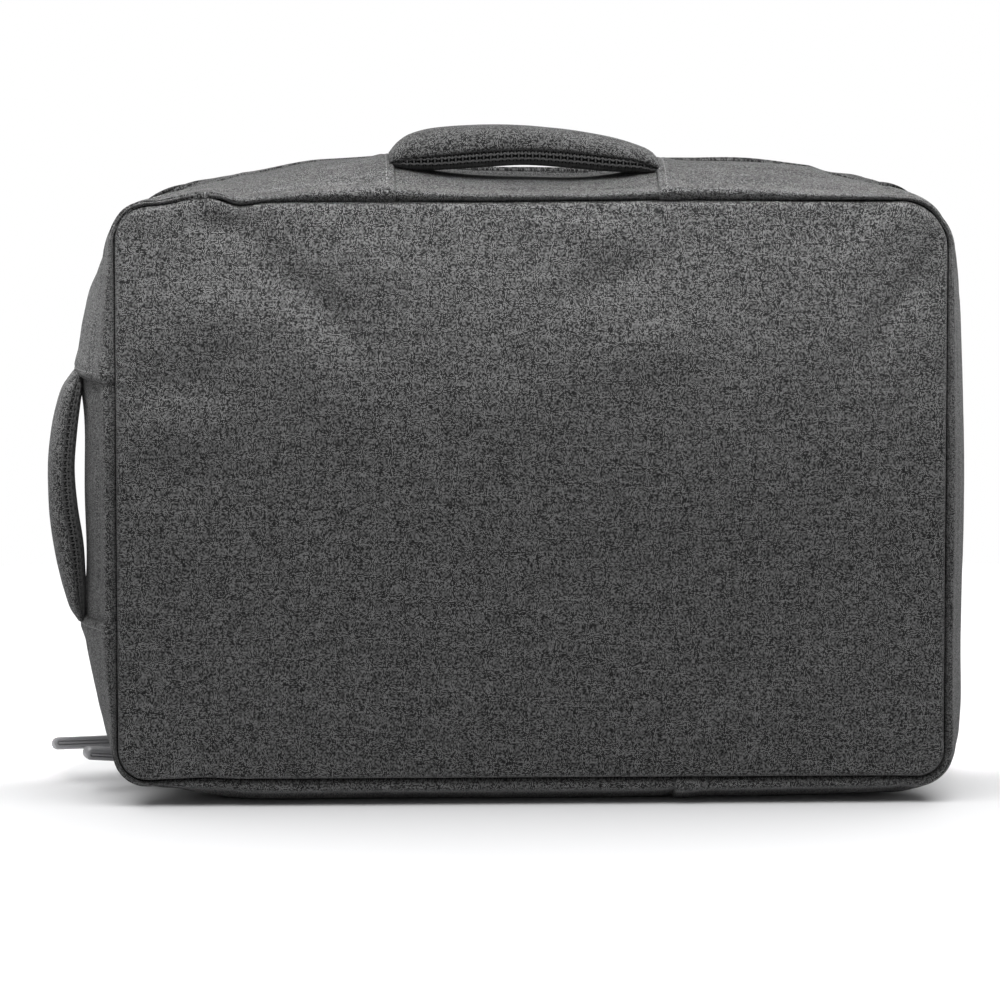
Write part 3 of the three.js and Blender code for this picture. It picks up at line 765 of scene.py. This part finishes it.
def open_cells(bm, thread, deep):
    """Sinks the middle of each cell between flat threads, which gives spacer mesh its open holes."""
    hole = bm.faces.layers.float.new("hole")
    cells = [face for face in bm.faces if len(face.verts) < 8]
    for width in (thread, thread / 4):
        bmesh.ops.inset_individual(bm, faces=cells, thickness=width, depth=0, use_even_offset=True)
    bm.normal_update()
    for face in cells:
        face[hole] = 1
        inward = face.normal * -deep
        for vert in face.verts:
            vert.co += inward


def bevel(bm, edges, offset, segments, profile):
    """Rounds or chamfers edges, by an offset in millimetres."""
    bmesh.ops.bevel(
        bm, geom=edges, offset=offset * MM, segments=segments, profile=profile, affect="EDGES", material=-1
    )


def frame_matrix(origin, forward, outward):
    """A matrix whose X runs forward and whose Z stands outward, in metres."""
    x = forward.normalized()
    y = outward.cross(x).normalized()
    z = x.cross(y)
    return Matrix.Translation(origin) @ Matrix((x, y, z)).transposed().to_4x4()


def stamp(bm, template, matrix):
    """Adds a copy of a small mesh at a place."""
    template.transform(matrix)
    bm.from_mesh(template)
    template.transform(matrix.inverted())


def stitch_template(length, width, height):
    """One thread stitch: a short rounded bar along X."""
    bm = bmesh.new()
    bmesh.ops.create_uvsphere(bm, u_segments=6, v_segments=4, radius=0.5 * MM)
    bmesh.ops.rotate(bm, verts=bm.verts, matrix=Matrix.Rotation(math.pi / 2, 3, "Y"))
    bmesh.ops.scale(bm, verts=bm.verts, vec=(length, width, height))
    return mesh_from("stitch", bm)


def stitch_line(bm, template, path, pitch):
    """Stitches along a path of points and outward directions."""
    carried = 0.0
    for (a, out_a), (b, _) in zip(path, path[1:]):
        step = (b - a).length
        while carried < step:
            stamp(bm, template, frame_matrix(a.lerp(b, carried / step) * MM, b - a, out_a))
            carried += pitch
        carried -= step


def zip_sink(place):
    """How deep the zip lies between the cloth bands; it is shallow where the sliders are parked."""
    return TAPE_SINK + ZIP_VALLEY * ease(5.65, 6.05, place)


def skin_outward(place, depth):
    """The direction away from the gusset's face."""
    _, _, nx, nz = outline(place, depth)
    angle = clamp(min(depth, BAG_DEPTH - depth) / (2 * LIP_WIDTH), 0, 1) * math.pi / 2
    facing = -1 if depth < BAG_DEPTH / 2 else 1
    return Vector((nx * math.sin(angle), facing * math.cos(angle), nz * math.sin(angle)))


def skin_path(start, stop, lift, steps):
    """A path over the folded cloth between two (place, depth) pairs."""
    path = []
    for k in range(steps + 1):
        place = start[0] + (stop[0] - start[0]) * k / steps
        depth = start[1] + (stop[1] - start[1]) * k / steps
        path.append((gusset_point(place, depth, cloth_fold(place, depth) + lift), skin_outward(place, depth)))
    return path


# Materials

def linear(code):
    """An sRGB hex colour as linear RGBA."""
    parts = [int(code[k : k + 2], 16) / 255 for k in (1, 3, 5)]
    return tuple(c / 12.92 if c <= 0.04045 else ((c + 0.055) / 1.055) ** 2.4 for c in parts) + (1,)


def add_node(tree, kind, inputs=None, **settings):
    """Adds a node, sets its properties, and fills its inputs with values or links to other nodes' outputs."""
    node = tree.nodes.new(kind)
    for key, value in settings.items():
        setattr(node, key, value)
    for key, value in (inputs or {}).items():
        if hasattr(value, "node"):
            tree.links.new(value, node.inputs[key])
        else:
            node.inputs[key].default_value = value
    return node


def math_node(tree, operation, *values):
    """A sum or another operation on numbers and other nodes' outputs."""
    return add_node(tree, "ShaderNodeMath", dict(enumerate(values)), operation=operation).outputs[0]


def times(tree, value, factor):
    """One output times a number."""
    return math_node(tree, "MULTIPLY", value, factor)


def vector_of(tree, x, y):
    """A vector from two outputs."""
    return add_node(tree, "ShaderNodeCombineXYZ", {"X": x, "Y": y}).outputs[0]


def surface(tree, colour, roughness, bump=None, **more):
    """A Principled shader wired to the output. A bump is its height, strength and distance."""
    inputs = {"Base Color": colour, "Roughness": roughness, **more}
    if bump:
        relief = dict(zip(("Height", "Strength", "Distance"), bump))
        inputs["Normal"] = add_node(tree, "ShaderNodeBump", relief).outputs[0]
    shader = add_node(tree, "ShaderNodeBsdfPrincipled", inputs)
    add_node(tree, "ShaderNodeOutputMaterial", {"Surface": shader.outputs[0]})


def cloth_coordinates(tree, pitch):
    """Cloth coordinates counted in threads."""
    uv = add_node(tree, "ShaderNodeUVMap", uv_map="cloth").outputs[0]
    split = add_node(tree, "ShaderNodeSeparateXYZ", {0: uv})
    per_metre = 1 / (pitch * MM)
    return times(tree, split.outputs[0], per_metre), times(tree, split.outputs[1], per_metre)


def noise_value(tree, x, y, detail=1.0):
    """Smooth noise over cloth coordinates."""
    inputs = {"Vector": vector_of(tree, x, y), "Scale": 1.0, "Detail": detail, "Roughness": 0.5}
    return add_node(tree, "ShaderNodeTexNoise", inputs, noise_dimensions="2D").outputs[0]


def object_noise(tree, scale, detail):
    """Smooth noise through a piece's own space."""
    where = add_node(tree, "ShaderNodeTexCoord").outputs["Object"]
    inputs = {"Vector": where, "Scale": scale, "Detail": detail}
    return add_node(tree, "ShaderNodeTexNoise", inputs).outputs[0]


def colour_between(tree, factor, low, high, **settings):
    """A colour between two others."""
    inputs = {"Factor": factor, 6: low, 7: high}
    return add_node(tree, "ShaderNodeMix", inputs, data_type="RGBA", **settings).outputs[2]


def melange_cloth(tree):
    """Polyester plain weave, piece-dyed from light and dark yarns: matt, mottled and streaked, with painted
    shade that darkens each thread towards its edges.
    The real threads are about 0.35 mm apart; they are drawn 0.55 mm apart so that they show."""
    looks = bpy.context.scene.backpack_looks
    u, v = cloth_coordinates(tree, looks.thread_pitch)
    column = math_node(tree, "FLOOR", u)
    row = math_node(tree, "FLOOR", v)
    # each thread keeps its own shade for a slub's length, then drifts to another
    weft = noise_value(tree, times(tree, u, 0.035), times(tree, row, 7.31))
    warp = noise_value(tree, times(tree, column, 5.17), times(tree, v, 0.12))
    crossing = vector_of(tree, column, row)
    cell = add_node(tree, "ShaderNodeTexWhiteNoise", {"Vector": crossing}, noise_dimensions="2D")
    over = math_node(tree, "MODULO", math_node(tree, "ADD", column, row), 2)
    over = math_node(tree, "ABSOLUTE", over)
    thread = add_node(tree, "ShaderNodeMix", {"Factor": over, "A": warp, "B": weft}).outputs[0]
    cloud = noise_value(tree, times(tree, u, 0.02), times(tree, v, 0.045), detail=3.0)
    # each thread's rounded profile; besides the bump it darkens the colour towards the thread's edges, which
    # is painted shade
    wave_v = math_node(tree, "ABSOLUTE", math_node(tree, "SINE", times(tree, v, math.pi)))
    wave_u = math_node(tree, "ABSOLUTE", math_node(tree, "SINE", times(tree, u, math.pi)))
    height = add_node(tree, "ShaderNodeMix", {"Factor": over, "A": wave_u, "B": wave_v}).outputs[0]
    # what each of them adds to the shade: value, weight, offset
    parts = (
        (thread, 1.9, -0.59),
        (cell.outputs[0], 1.7, -0.91),
        (cloud, 0.12, -0.06),
        # painted shade: the thread's profile makes its edges darker
        (height, 0.5, -0.3),
        (over, -0.3, 0.15),
    )
    shade = 0
    for value, weight, offset in parts:
        shade = math_node(tree, "ADD", shade, math_node(tree, "MULTIPLY_ADD", value, weight, offset))
    dark, light = (tuple(yarn) + (1,) for yarn in (looks.dark_yarn, looks.light_yarn))
    colour = colour_between(tree, shade, dark, light, clamp_factor=True)
    height = math_node(tree, "ADD", height, times(tree, thread, 0.8))
    sheen = {"Sheen Weight": 0.12, "Sheen Roughness": 0.5, "Specular IOR Level": 0.25}
    surface(tree, colour, 0.88, (height, 0.55, 0.0003), **sheen)


def spacer_mesh(tree):
    """Warp-knitted polyester spacer mesh: matt dark yarn round open cells, whose sunk faces are painted near
    black as the shade inside the holes.
    """
    u, v = cloth_coordinates(tree, 0.5)
    knit = noise_value(tree, u, v, detail=2.0)
    yarn = colour_between(tree, knit, linear("#262626"), linear("#5c5c5c"))
    hole = add_node(tree, "ShaderNodeAttribute", attribute_name="hole").outputs["Fac"]
    # painted shade: the sunk faces of the open cells are coloured near black
    colour = colour_between(tree, hole, yarn, linear("#080808"))
    surface(tree, colour, 0.85, (knit, 0.6, 0.0003), **{"Specular IOR Level": 0.3})


def zip_tape(tree):
    """Woven polyester tape: fine herringbone, matt and nearly black, with painted shade in the grooves
    between its ribs.
    """
    u, v = cloth_coordinates(tree, 0.8)
    across = math_node(tree, "FRACT", times(tree, v, 0.5))
    slant = math_node(tree, "ABSOLUTE", math_node(tree, "SUBTRACT", across, 0.5))
    along = math_node(tree, "ADD", u, times(tree, slant, 3))
    rib = math_node(tree, "ABSOLUTE", math_node(tree, "SINE", times(tree, along, math.pi)))
    # painted shade: the colour darkens with the rib's relief, in the grooves between ribs
    colour = colour_between(tree, rib, linear("#121213"), linear("#343436"))
    surface(tree, colour, 0.85, (rib, 0.5, 0.0002), **{"Specular IOR Level": 0.3})


def nylon_coil(tree):
    """Extruded nylon monofilament: smooth, black and softly shiny."""
    grain = object_noise(tree, 900.0, 2.0)
    rough = math_node(tree, "MULTIPLY_ADD", grain, 0.15, 0.32)
    surface(tree, linear("#1b1b1d"), rough, (grain, 0.15, 0.0001))


def light_thread(tree, low="#585858", high="#8a8a8a"):
    """Twisted polyester thread with a faint sheen."""
    ply = object_noise(tree, 2500.0, 1.0)
    colour = colour_between(tree, ply, linear(low), linear(high))
    surface(tree, colour, 0.6, (ply, 0.3, 0.0001), **{"Sheen Weight": 0.1})


def dark_thread(tree):
    """The same thread in the cloth's dark grey, which sews the zip tapes."""
    light_thread(tree, "#181818", "#343434")


def dark_metal(tree):
    """Die-cast zinc with a dark gun-metal plating, tumbled: satin, with faint wear."""
    wear = object_noise(tree, 700.0, 4.0)
    rough = math_node(tree, "MULTIPLY_ADD", wear, 0.25, 0.22)
    colour = colour_between(tree, wear, linear("#4a4a4e"), linear("#7c7c80"))
    surface(tree, colour, rough, (wear, 0.1, 0.0001), Metallic=1.0)


def moulded_rubber(tree):
    """Injection-moulded soft rubber: mid grey, satin, with a fine moulded grain."""
    grain = object_noise(tree, 1600.0, 2.0)
    rough = math_node(tree, "MULTIPLY_ADD", grain, 0.1, 0.2)
    colour = colour_between(tree, grain, linear("#828284"), linear("#929294"))
    surface(tree, colour, rough, (grain, 0.12, 0.0001), **{"Specular IOR Level": 0.7})


def floor_paint(tree):
    """Glossy white studio floor: a smooth sprayed board that mirrors a little."""
    flow = object_noise(tree, 3.0, 2.0)
    rough = math_node(tree, "MULTIPLY_ADD", flow, 0.04, 0.3)
    surface(tree, linear("#f4f4f5"), rough, IOR=1.12)


# Name and maker of each material
MATERIALS = {
    "cloth": ("Melange polyester weave", melange_cloth),
    "mesh": ("Polyester spacer mesh", spacer_mesh),
    "tape": ("Woven zip tape", zip_tape),
    "coil": ("Nylon coil", nylon_coil),
    "thread": ("Light polyester sewing thread", light_thread),
    "dark_thread": ("Dark polyester sewing thread", dark_thread),
    "metal": ("Gun-metal plated zinc", dark_metal),
    "rubber": ("Moulded soft rubber", moulded_rubber),
    "floor": ("Glossy white board", floor_paint),
}


@functools.lru_cache(maxsize=None)
def material_named(kind):
    """The material of that kind, made at its first use."""
    name, maker = MATERIALS[kind]
    material = bpy.data.materials.new(name)
    material.use_nodes = True
    material.node_tree.nodes.clear()
    maker(material.node_tree)
    return material


# Settings and operators

class BackpackLooks(bpy.types.PropertyGroup):
    """Settings that the sidebar shows"""

    dark_yarn: bpy.props.FloatVectorProperty(
        name="Dark yarn", description="Darkest yarn of the melange cloth", subtype="COLOR",
        size=3, min=0, max=1, default=linear("#080808")[:3],
    )
    light_yarn: bpy.props.FloatVectorProperty(
        name="Light yarn", description="Lightest yarn of the melange cloth", subtype="COLOR",
        size=3, min=0, max=1, default=linear("#6a6a6a")[:3],
    )
    thread_pitch: bpy.props.FloatProperty(
        name="Thread pitch", description="Distance between the drawn threads, in millimetres",
        default=0.55, min=0.2, max=3,
    )
    stitch_pitch: bpy.props.FloatProperty(
        name="Stitch pitch", description="Distance between top stitches, in millimetres",
        default=3.3, min=1, max=10,
    )
    key_power: bpy.props.FloatProperty(
        name="Key light", description="Power of the softbox over the bag",
        default=80, min=0, unit="POWER",
    )
    strip_power: bpy.props.FloatProperty(
        name="Strip light", description="Power of the strip box that grazes the upper panel",
        default=0.3, min=0, unit="POWER",
    )
    fill_light: bpy.props.FloatProperty(
        name="Fill light", description="Strength of the light that the white surround gives",
        default=0.25, min=0, max=1,
    )


def bay_places(bay):
    """The places where a bay starts and stops."""
    name, centre, length, _ = bay
    return sorted((place_on(name, centre - length / 2), place_on(name, centre + length / 2)))


class BACKPACK_OT_panels(bpy.types.Operator):
    """Make the padded back and front panels"""

    bl_idname = "backpack.panels"
    bl_label = "Panels"

    def execute(self, context):
        cloth = material_named("cloth")
        back = panel_cloth("back_panel_cloth", -1, BACK_CROWN, PANEL_DENTS)
        front = panel_cloth("front_panel_cloth", 1, FRONT_CROWN, ())
        for obj, node in ((back, "back_panel"), (front, "front_panel")):
            finish_piece(obj, "bag", "melange_cloth", cloth, node)
        return {"FINISHED"}


class BACKPACK_OT_gusset(bpy.types.Operator):
    """Make the cloth bands round the bag"""

    bl_idname = "backpack.gusset"
    bl_label = "Gusset"

    def execute(self, context):
        top_start, top_stop = bay_places(TOP_BAY)
        left_start, left_stop = bay_places(SIDE_BAY)
        bottom = place_on("bottom", BOTTOM_SEAM_X)
        rear = (0, REAR_BAND)
        bands = (
            ("rear_gusset_top_bay", top_start, top_stop, rear, (-1, -1)),
            ("rear_gusset_right", top_stop, bottom, rear, (1, 1)),
            ("rear_gusset_lower_left", bottom, left_start, rear, (-1, 1)),
            ("rear_gusset_side_bay", left_start, left_stop, rear, (-1, -1)),
            ("rear_gusset_upper_left", left_stop, top_start + TURN, rear, (1, 1)),
            ("middle_gusset", ZIP_START, ZIP_STOP, (MIDDLE_FROM, FRONT_ZIP), (0, 0)),
            ("front_gusset", ZIP_START, ZIP_STOP, (FRONT_FROM, BAG_DEPTH), (0, 0)),
            ("bottom_gusset", ZIP_STOP - TURN, ZIP_START, (REAR_BAND, BAG_DEPTH), (1, 1)),
        )
        for name, start, stop, depths, ends in bands:
            obj = gusset_strip(name + "_cloth", start, stop, depths, ends)
            finish_piece(obj, "bag", "melange_cloth", material_named("cloth"), name)
        return {"FINISHED"}


class BACKPACK_OT_stitching(bpy.types.Operator):
    """Sew the light top stitches beside the cross seams and the dark ones beside the zips"""

    bl_idname = "backpack.stitching"
    bl_label = "Top stitching"

    def execute(self, context):
        pitch = context.scene.backpack_looks.stitch_pitch
        top_start, top_stop = bay_places(TOP_BAY)
        left_start, left_stop = bay_places(SIDE_BAY)
        bottom = place_on("bottom", BOTTOM_SEAM_X)
        seams = ((top_start + TURN, -1), (top_stop, 1), (left_start, -1), (left_stop, 1), (bottom, -1))
        bm = bmesh.new()
        thread = stitch_template(*STITCH_SIZE)
        for place, side in seams:
            there = place_at(length_at(place) + side * SEAM_STITCH_INSET)
            stitch_line(bm, thread, skin_path((there, 3), (there, REAR_BAND - 2), 1.2, 24), pitch)
        stitches = new_object("cross_seam_stitches", bm)
        finish_piece(stitches, "bag", "melange_cloth", material_named("thread"))
        bm = bmesh.new()
        for edge, side in ((REAR_BAND, -1), (MIDDLE_FROM, 1), (FRONT_ZIP, -1), (FRONT_FROM, 1)):
            depth = edge + side * ZIP_STITCH_INSET
            stitch_line(bm, thread, skin_path((ZIP_START, depth), (ZIP_STOP, depth), 0.3, 400), pitch)
        stitches = new_object("zip_edge_stitches", bm)
        finish_piece(stitches, "bag", "melange_cloth", material_named("dark_thread"))
        bpy.data.meshes.remove(thread)
        return {"FINISHED"}


class BACKPACK_OT_zips(bpy.types.Operator):
    """Make the zip tapes and the coil teeth, and give the sliders and pull links their metal"""

    bl_idname = "backpack.zips"
    bl_label = "Zips"

    def execute(self, context):
        for name, depth in (("main_zip", MAIN_ZIP), ("front_zip", FRONT_ZIP)):
            self.tape(name, depth)
            self.coil(name, depth)
            for node in (name + "_slider", name + "_pull_link"):
                obj = frame["nodes"][node]
                obj.data.materials.clear()
                obj.data.materials.append(material_named("metal"))
        return {"FINISHED"}

    def tape(self, name, depth):
        """A tape whose edges lie under both cloth bands."""
        start, stop = length_at(ZIP_START), length_at(ZIP_STOP)
        width = ZIP_OPENING + 2 * TAPE_UNDER

        def shape(s, t):
            place = place_at(start + (stop - start) * s)
            across = depth - TAPE_UNDER + width * t
            return gusset_point(place, across, -zip_sink(place) - 1.2 * abs(2 * t - 1) ** 4)

        def cloth_uv(s, t):
            return start + (stop - start) * s, width * t

        obj = new_object(name + "_tape_cloth", shaped_grid(300, 8, shape, cloth_uv))
        thicken(obj, TAPE_WALL)
        finish_piece(obj, "bag", "zip_tape", material_named("tape"), name + "_tape")

    def coil(self, name, depth):
        """Teeth that lie to one side of the middle and the other by turns."""
        start, stop = length_at(ZIP_START), length_at(ZIP_STOP)
        middle = depth + ZIP_OPENING / 2
        tooth = self.tooth()
        bm = bmesh.new()
        for k in range(int((stop - start) / COIL_PITCH)):
            place = place_at(start + (k + 0.5) * COIL_PITCH)
            ahead = gusset_point(place + 0.01, middle) - gusset_point(place - 0.01, middle)
            side = COIL_ZIGZAG if k % 2 else -COIL_ZIGZAG
            centre = gusset_point(place, middle + side, 0.9 - zip_sink(place))
            stamp(bm, tooth, frame_matrix(centre * MM, ahead, skin_outward(place, middle)))
        bpy.data.meshes.remove(tooth)
        obj = new_object(name + "_coil_teeth", bm)
        finish_piece(obj, "bag", "zip_coil", material_named("coil"), name + "_coil")

    def tooth(self):
        """One bevelled bar of the coil, to be stamped along the zip."""
        bm = bmesh.new()
        bmesh.ops.create_cube(bm, size=MM)
        size = (COIL_PITCH * 0.72, COIL_WIDTH - 2 * COIL_ZIGZAG, COIL_HEIGHT * 0.84)
        bmesh.ops.scale(bm, verts=bm.verts, vec=size)
        bevel(bm, bm.edges[:], 0.45, 1, 0.5)
        return mesh_from("tooth", bm)


class BACKPACK_OT_pulls(bpy.types.Operator):
    """Mould the rubber grips of the zip pulls"""

    bl_idname = "backpack.pulls"
    bl_label = "Pull grips"

    def execute(self, context):
        joints = {joint["child"]: joint for joint in frame["joints"]}
        for body, name in (("main_pull", "main_zip_pull_grip"), ("front_pull", "front_zip_pull_grip")):
            joint = joints[body]
            pivot = Vector(joint["pos_m"])
            axis = Vector(joint["axis"]).normalized()
            low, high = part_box(name)
            forward = (low + high) / 2 - pivot
            forward -= axis * forward.dot(axis)
            reach = [(v.co - pivot).dot(forward.normalized()) for v in frame["nodes"][name].data.vertices]
            obj = self.grip(name + "_rubber", min(reach), max(reach))
            placed = frame_matrix(pivot, forward, forward.cross(axis))
            obj.data.transform(placed)
            finish_piece(obj, body, "pull_rubber", material_named("rubber"), name)
        return {"FINISHED"}

    def grip(self, name, start, stop):
        """A bar with rounded ends and a broad facet round each side face, with a low rib along it."""
        length, width, height = stop - start, GRIP_WIDTH * MM, GRIP_HEIGHT * MM
        bm = bmesh.new()
        bmesh.ops.create_cube(bm, size=1)
        bmesh.ops.scale(bm, verts=bm.verts, vec=(length, width, height))
        bmesh.ops.translate(bm, verts=bm.verts, vec=((start + stop) / 2, 0, 0))
        ends = [e for e in bm.edges if abs(e.verts[0].co.y - e.verts[1].co.y) > width / 2]
        bevel(bm, ends, GRIP_HEIGHT * 0.47, 8, 0.5)
        sides = [f for f in bm.faces if abs(f.normal.y) > 0.9]
        rims = [e for e in bm.edges if any(f in sides for f in e.link_faces)]
        bevel(bm, rims, GRIP_FACET, 2, 0.6)
        sides = [f for f in bm.faces if abs(f.normal.y) > 0.99]
        for inset, out in GRIP_STEPS:
            bmesh.ops.inset_individual(
                bm, faces=sides, thickness=inset * MM, depth=out * MM, use_even_offset=True
            )
        obj = new_object(name, bm)
        soften = obj.modifiers.new("Moulded edge", "BEVEL")
        soften.width = 0.18 * MM
        soften.segments = 2
        soften.limit_method = "ANGLE"
        return obj


class BACKPACK_OT_handles(bpy.types.Operator):
    """Make the padded handles with their mesh undersides"""

    bl_idname = "backpack.handles"
    bl_label = "Handles"

    def execute(self, context):
        rows = (
            ("top_handle", TOP_BAY, TOP_HANDLE, TOP_HANDLE_RISE),
            ("side_handle", SIDE_BAY, SIDE_HANDLE, SIDE_HANDLE_RISE),
        )
        for name, bay, table, high in rows:
            cover = new_object(name + "_cover_cloth", handle_tube(bay, table, high, True, *COVER_CELLS))
            finish_piece(cover, "bag", "melange_cloth", material_named("cloth"), name + "_cover")
            bm = handle_tube(bay, table, high, False, 2 * round(bay[2] / MESH_PITCH), MESH_ROWS)
            bm.normal_update()
            open_cells(bm, MESH_THREAD * MM, MESH_DEPTH * MM)
            pad = new_object(name + "_mesh_pad", bm)
            finish_piece(pad, "bag", "spacer_mesh", material_named("mesh"), name + "_mesh")
        return {"FINISHED"}


class BACKPACK_OT_stage(bpy.types.Operator):
    """Lay the pale floor, hang the soft lights and set the camera"""

    bl_idname = "backpack.stage"
    bl_label = "Studio"

    def execute(self, context):
        scene = context.scene
        scene.view_settings.view_transform = "Standard"
        bm = bmesh.new()
        bmesh.ops.create_circle(bm, cap_ends=True, segments=128, radius=1)
        floor = new_object("studio_floor", bm, smooth=False)
        floor.data.materials.append(material_named("floor"))
        self.surround(scene)
        looks = scene.backpack_looks
        self.softbox("Overhead softbox", (0, 0, 1.65), (0, 0, 0), (3, 3.4), looks.key_power)
        above, panel_top = (-0.04, -0.55, 1), (-0.04, -0.065, 0.295)
        strip = self.softbox("Gridded strip box", above, panel_top, (0.6, 0.06), looks.strip_power)
        strip.data.spread = math.radians(10)
        self.camera(scene)
        return {"FINISHED"}

    def surround(self, scene):
        """A white paper surround that lights the bag only faintly."""
        world = bpy.data.worlds.new("Studio surround")
        scene.world = world
        world.use_nodes = True
        tree = world.node_tree
        tree.nodes.clear()
        seen = add_node(tree, "ShaderNodeLightPath").outputs["Is Camera Ray"]
        fill = scene.backpack_looks.fill_light
        strength = math_node(tree, "MULTIPLY_ADD", seen, 1 - fill, fill)
        paper = add_node(tree, "ShaderNodeBackground", {"Strength": strength, "Color": (1, 1, 1, 1)})
        add_node(tree, "ShaderNodeOutputWorld", {"Surface": paper.outputs[0]})

    def softbox(self, name, where, aim, size, power):
        """An area light at a place, turned towards another."""
        data = bpy.data.lights.new(name, "AREA")
        data.shape = "RECTANGLE"
        data.size, data.size_y = size
        data.energy = power
        light = bpy.data.objects.new(name, data)
        light.location = where
        light.rotation_euler = (Vector(aim) - Vector(where)).to_track_quat("-Z", "Y").to_euler()
        bpy.context.scene.collection.objects.link(light)
        return light

    def camera(self, scene):
        """The photo's viewpoint: its direction and scale."""
        azimuth, elevation = math.radians(-2), math.radians(6.5)
        distance, pixels_per_mm = 3200, 1.935
        aim = Vector((-16.6, -65, 159.7))
        back = Vector((
            math.sin(azimuth) * math.cos(elevation),
            -math.cos(azimuth) * math.cos(elevation),
            math.sin(elevation),
        ))
        data = bpy.data.cameras.new("Studio camera")
        data.sensor_width = 36
        data.lens = pixels_per_mm * distance / 1000 * data.sensor_width
        data.clip_start = 0.1
        data.clip_end = 60
        camera = bpy.data.objects.new("Studio camera", data)
        camera.location = (aim + back * distance) * MM
        camera.rotation_euler = (-back).to_track_quat("-Z", "Y").to_euler()
        scene.collection.objects.link(camera)
        scene.camera = camera


STEPS = ("stage", "panels", "gusset", "zips", "stitching", "handles", "pulls")


class BACKPACK_PT_sidebar(bpy.types.Panel):
    """The add-on's sidebar: its settings, then a button for each group of pieces"""

    bl_label = "Backpack"
    bl_idname = "BACKPACK_PT_sidebar"
    bl_space_type = "VIEW_3D"
    bl_region_type = "UI"
    bl_category = "Backpack"

    def draw(self, context):
        looks = context.scene.backpack_looks
        for name in BackpackLooks.__annotations__:
            self.layout.prop(looks, name)
        for step in STEPS:
            self.layout.operator("backpack." + step)


CLASSES = (
    BackpackLooks,
    BACKPACK_OT_panels,
    BACKPACK_OT_gusset,
    BACKPACK_OT_stitching,
    BACKPACK_OT_zips,
    BACKPACK_OT_pulls,
    BACKPACK_OT_handles,
    BACKPACK_OT_stage,
    BACKPACK_PT_sidebar,
)


def register():
    """Adds the classes and the settings."""
    for cls in CLASSES:
        bpy.utils.register_class(cls)
    bpy.types.Scene.backpack_looks = bpy.props.PointerProperty(type=BackpackLooks)


def unregister():
    """Takes the settings and the classes away."""
    del bpy.types.Scene.backpack_looks
    for cls in reversed(CLASSES):
        bpy.utils.unregister_class(cls)


def main():
    """Builds everything."""
    register()
    for step in STEPS:
        getattr(bpy.ops.backpack, step)()


if __name__ == "__main__":
    main()
